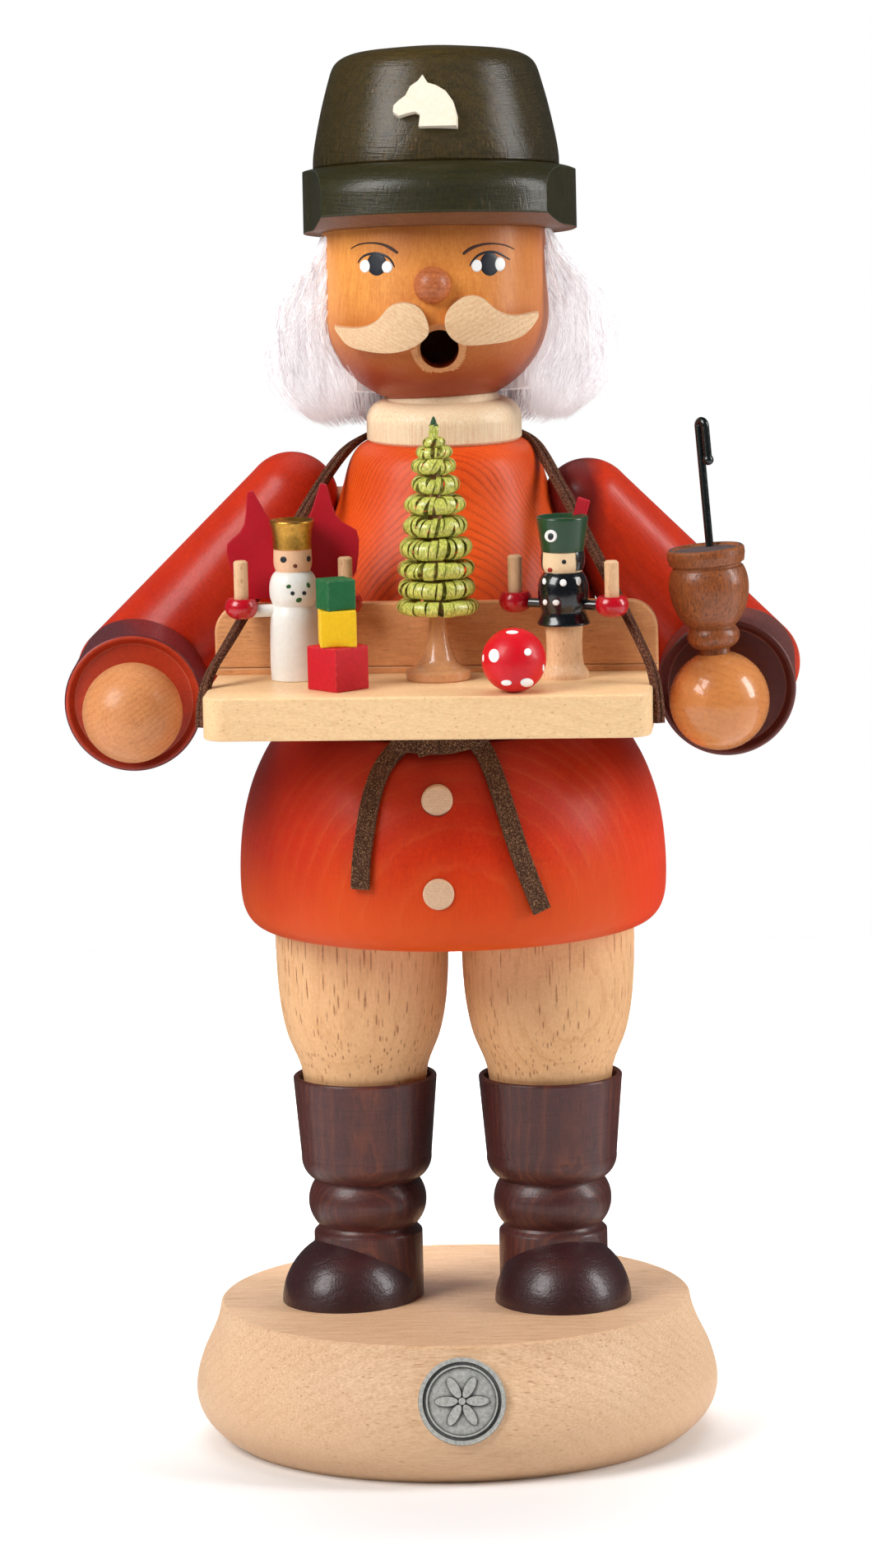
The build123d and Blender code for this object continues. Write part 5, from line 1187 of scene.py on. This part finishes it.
for u, v, r in ((659.0, 680.5, 2.3), (685.6, 683.0, 2.8)):
    k.ellipse(u, v, r, r)
k.ellipse(669.4, 653.6, 3.6, 3.8)
k.done("miner_dark_dots", M["eye_dark"], UP, SLOT_OF["miner_arms"])
k = Marks(mb, 0.10)
k.ellipse(668.6, 693.0, 3.0, 2.8)
k.done("miner_mouth", M["mouth_red"], UP, SLOT_OF["block_red"])
k = Marks(mb, 0.08)
k.ring(669.6, 651.6, 3.4, 7.6)
for u, v, ru, rv in ((661.6, 706.6, 2.4, 4.0), (684.6, 708.4, 4.2, 4.4), (703.4, 706.4, 3.0, 5.4), (662.6, 732.2, 2.8, 3.6), (675.9, 732.6, 4.2, 3.6)):
    k.ellipse(u, v, ru, rv, 0)
k.done("miner_white_dots", M["white_paint_and_glints"], UP, SLOT_OF["angel_arms"])
# black hair round the miner's back and side
bm = bmesh.new()
rows = []
for i in range(33):
    a = radians(-52) + radians(250) * i / 32
    row = []
    for z, rr in ((165.2, 3.62), (164.2, 3.78), (162.9, 3.74), (161.9, 3.44)):
        row.append((rr, z))
    cs = [bm.verts.new(Vector((MX + (rr + 0.10) * cos(a), MY + (rr + 0.10) * sin(a), z))) for rr, z in row]
    cb = [bm.verts.new(Vector((MX + (rr - 0.25) * cos(a), MY + (rr - 0.25) * sin(a), z))) for rr, z in row]
    rows.append(cs + cb[::-1])
for a, b in zip(rows, rows[1:]):
    for j in range(8):
        jj = (j + 1) % 8
        bm.faces.new((a[j], a[jj], b[jj], b[j]))
bm.faces.new(rows[0][::-1])
bm.faces.new(rows[-1])
make("miner_hair", bm, [M["black"]], UP, sharp=50)

# white spots on the ball
k = Marks(tree_of(NODES["toy_ball"]), 0.08)
for u, v, ru, rv in ((622.6, 768.6, 7.6, 2.2), (600.6, 797.0, 6.6, 8.2), (641.6, 792.6, 4.4, 4.6), (615.6, 830.0, 6.6, 3.4), (640.6, 829.8, 8.0, 5.4), (587.4, 800.0, 1.0, 4.6), (660.6, 812.0, 1.2, 4.6)):
    k.ellipse(u, v, ru, rv, 0)
k.done("ball_spots", M["white_paint_and_glints"], UP, SLOT_OF["angel_arms"])

# ------------------------------------------------------------------ stage and light
def stage_piece(name, pts, mirrored, seen=True):
    bm = bmesh.new()
    rows = []
    for y, z in pts:
        rows.append([bm.verts.new((x, y, z)) for x in (-0.8, 0.8)])
    for a, b in zip(rows, rows[1:]):
        bm.faces.new((a[0], a[1], b[1], b[0]))
    me = bpy.data.meshes.new(name)
    bm.to_mesh(me)
    bm.free()
    for q in me.polygons:
        q.use_smooth = True
    ob = bpy.data.objects.new(name, me)
    scene.collection.objects.link(ob)
    ob.visible_glossy = mirrored
    ob.visible_camera = seen
    me.materials.append(M["floor"])


t = Tree("floor")
t.link(t.mix(t.remap(t.noise(t.coords(), 0.01, 2.0), 0.3, 0.7), (0.93, 0.93, 0.93, 1), (0.915, 0.915, 0.92, 1)), t.bsdf.inputs["Base Color"])
t.bsdf.inputs["Roughness"].default_value = 0.75
t.bsdf.inputs["Specular IOR Level"].default_value = 0.1
M["floor"] = t.mat
cove = [(0.50 + 0.35 * sin(pi / 2 * i / 24), 0.35 * (1 - cos(pi / 2 * i / 24))) for i in range(25)]
stage_piece("floor_front", [(-0.75, 0.0), (0.045, 0.0)], True)
stage_piece("floor_back", [(0.045, 0.0), (0.50, 0.0)], False)
stage_piece("light_cove", cove + [(0.85, 0.75)], False, seen=False)


def area(name, loc, target, sx, sy, power, colour=(1, 1, 1)):
    L = bpy.data.lights.new(name, "AREA")
    L.shape = "RECTANGLE"
    L.size, L.size_y = sx, sy
    L.energy = power
    L.color = colour
    o = bpy.data.objects.new(name, L)
    scene.collection.objects.link(o)
    o.location = loc
    d = (Vector(target) - Vector(loc)).normalized()
    o.rotation_euler = d.to_track_quat("-Z", "Y").to_euler()
    return o


area("key", (-0.80, -0.58, 0.84), (0, 0, 0.13), 0.62, 0.72, 14.5, (1.0, 0.993, 0.982))
area("side", (1.08, -0.19, 0.60), (0, 0, 0.14), 0.32, 0.80, 10.5, (1.0, 0.995, 0.99))
top = area("top", (0.0, 0.28, 1.20), (0, 0.22, 0.0), 0.9, 0.5, 6.5)
back = area("backdrop", (0.0, 0.30, 0.95), (0.0, 0.85, 0.10), 1.2, 0.25, 7.0)
back.data.spread = radians(110)
top.visible_glossy = back.visible_glossy = False
world = bpy.data.worlds.new("world")
scene.world = world
world.use_nodes = True
world.node_tree.nodes["Background"].inputs[0].default_value = (0.90, 0.95, 1.0, 1)
world.node_tree.nodes["Background"].inputs[1].default_value = 0.07
# the room behind the floor is plain white, but lights the figure only a little
nt = world.node_tree
plain = nt.nodes.new("ShaderNodeBackground")
plain.inputs[0].default_value = (1, 1, 1, 1)
plain.inputs[1].default_value = 1.0
ray = nt.nodes.new("ShaderNodeLightPath")
both = nt.nodes.new("ShaderNodeMixShader")
nt.links.new(ray.outputs["Is Camera Ray"], both.inputs[0])
nt.links.new(nt.nodes["Background"].outputs[0], both.inputs[1])
nt.links.new(plain.outputs[0], both.inputs[2])
nt.links.new(both.outputs[0], nt.nodes["World Output"].inputs["Surface"])
scene.view_settings.view_transform = "Standard"
scene.view_settings.look = "None"
scene.view_settings.exposure = 0.0
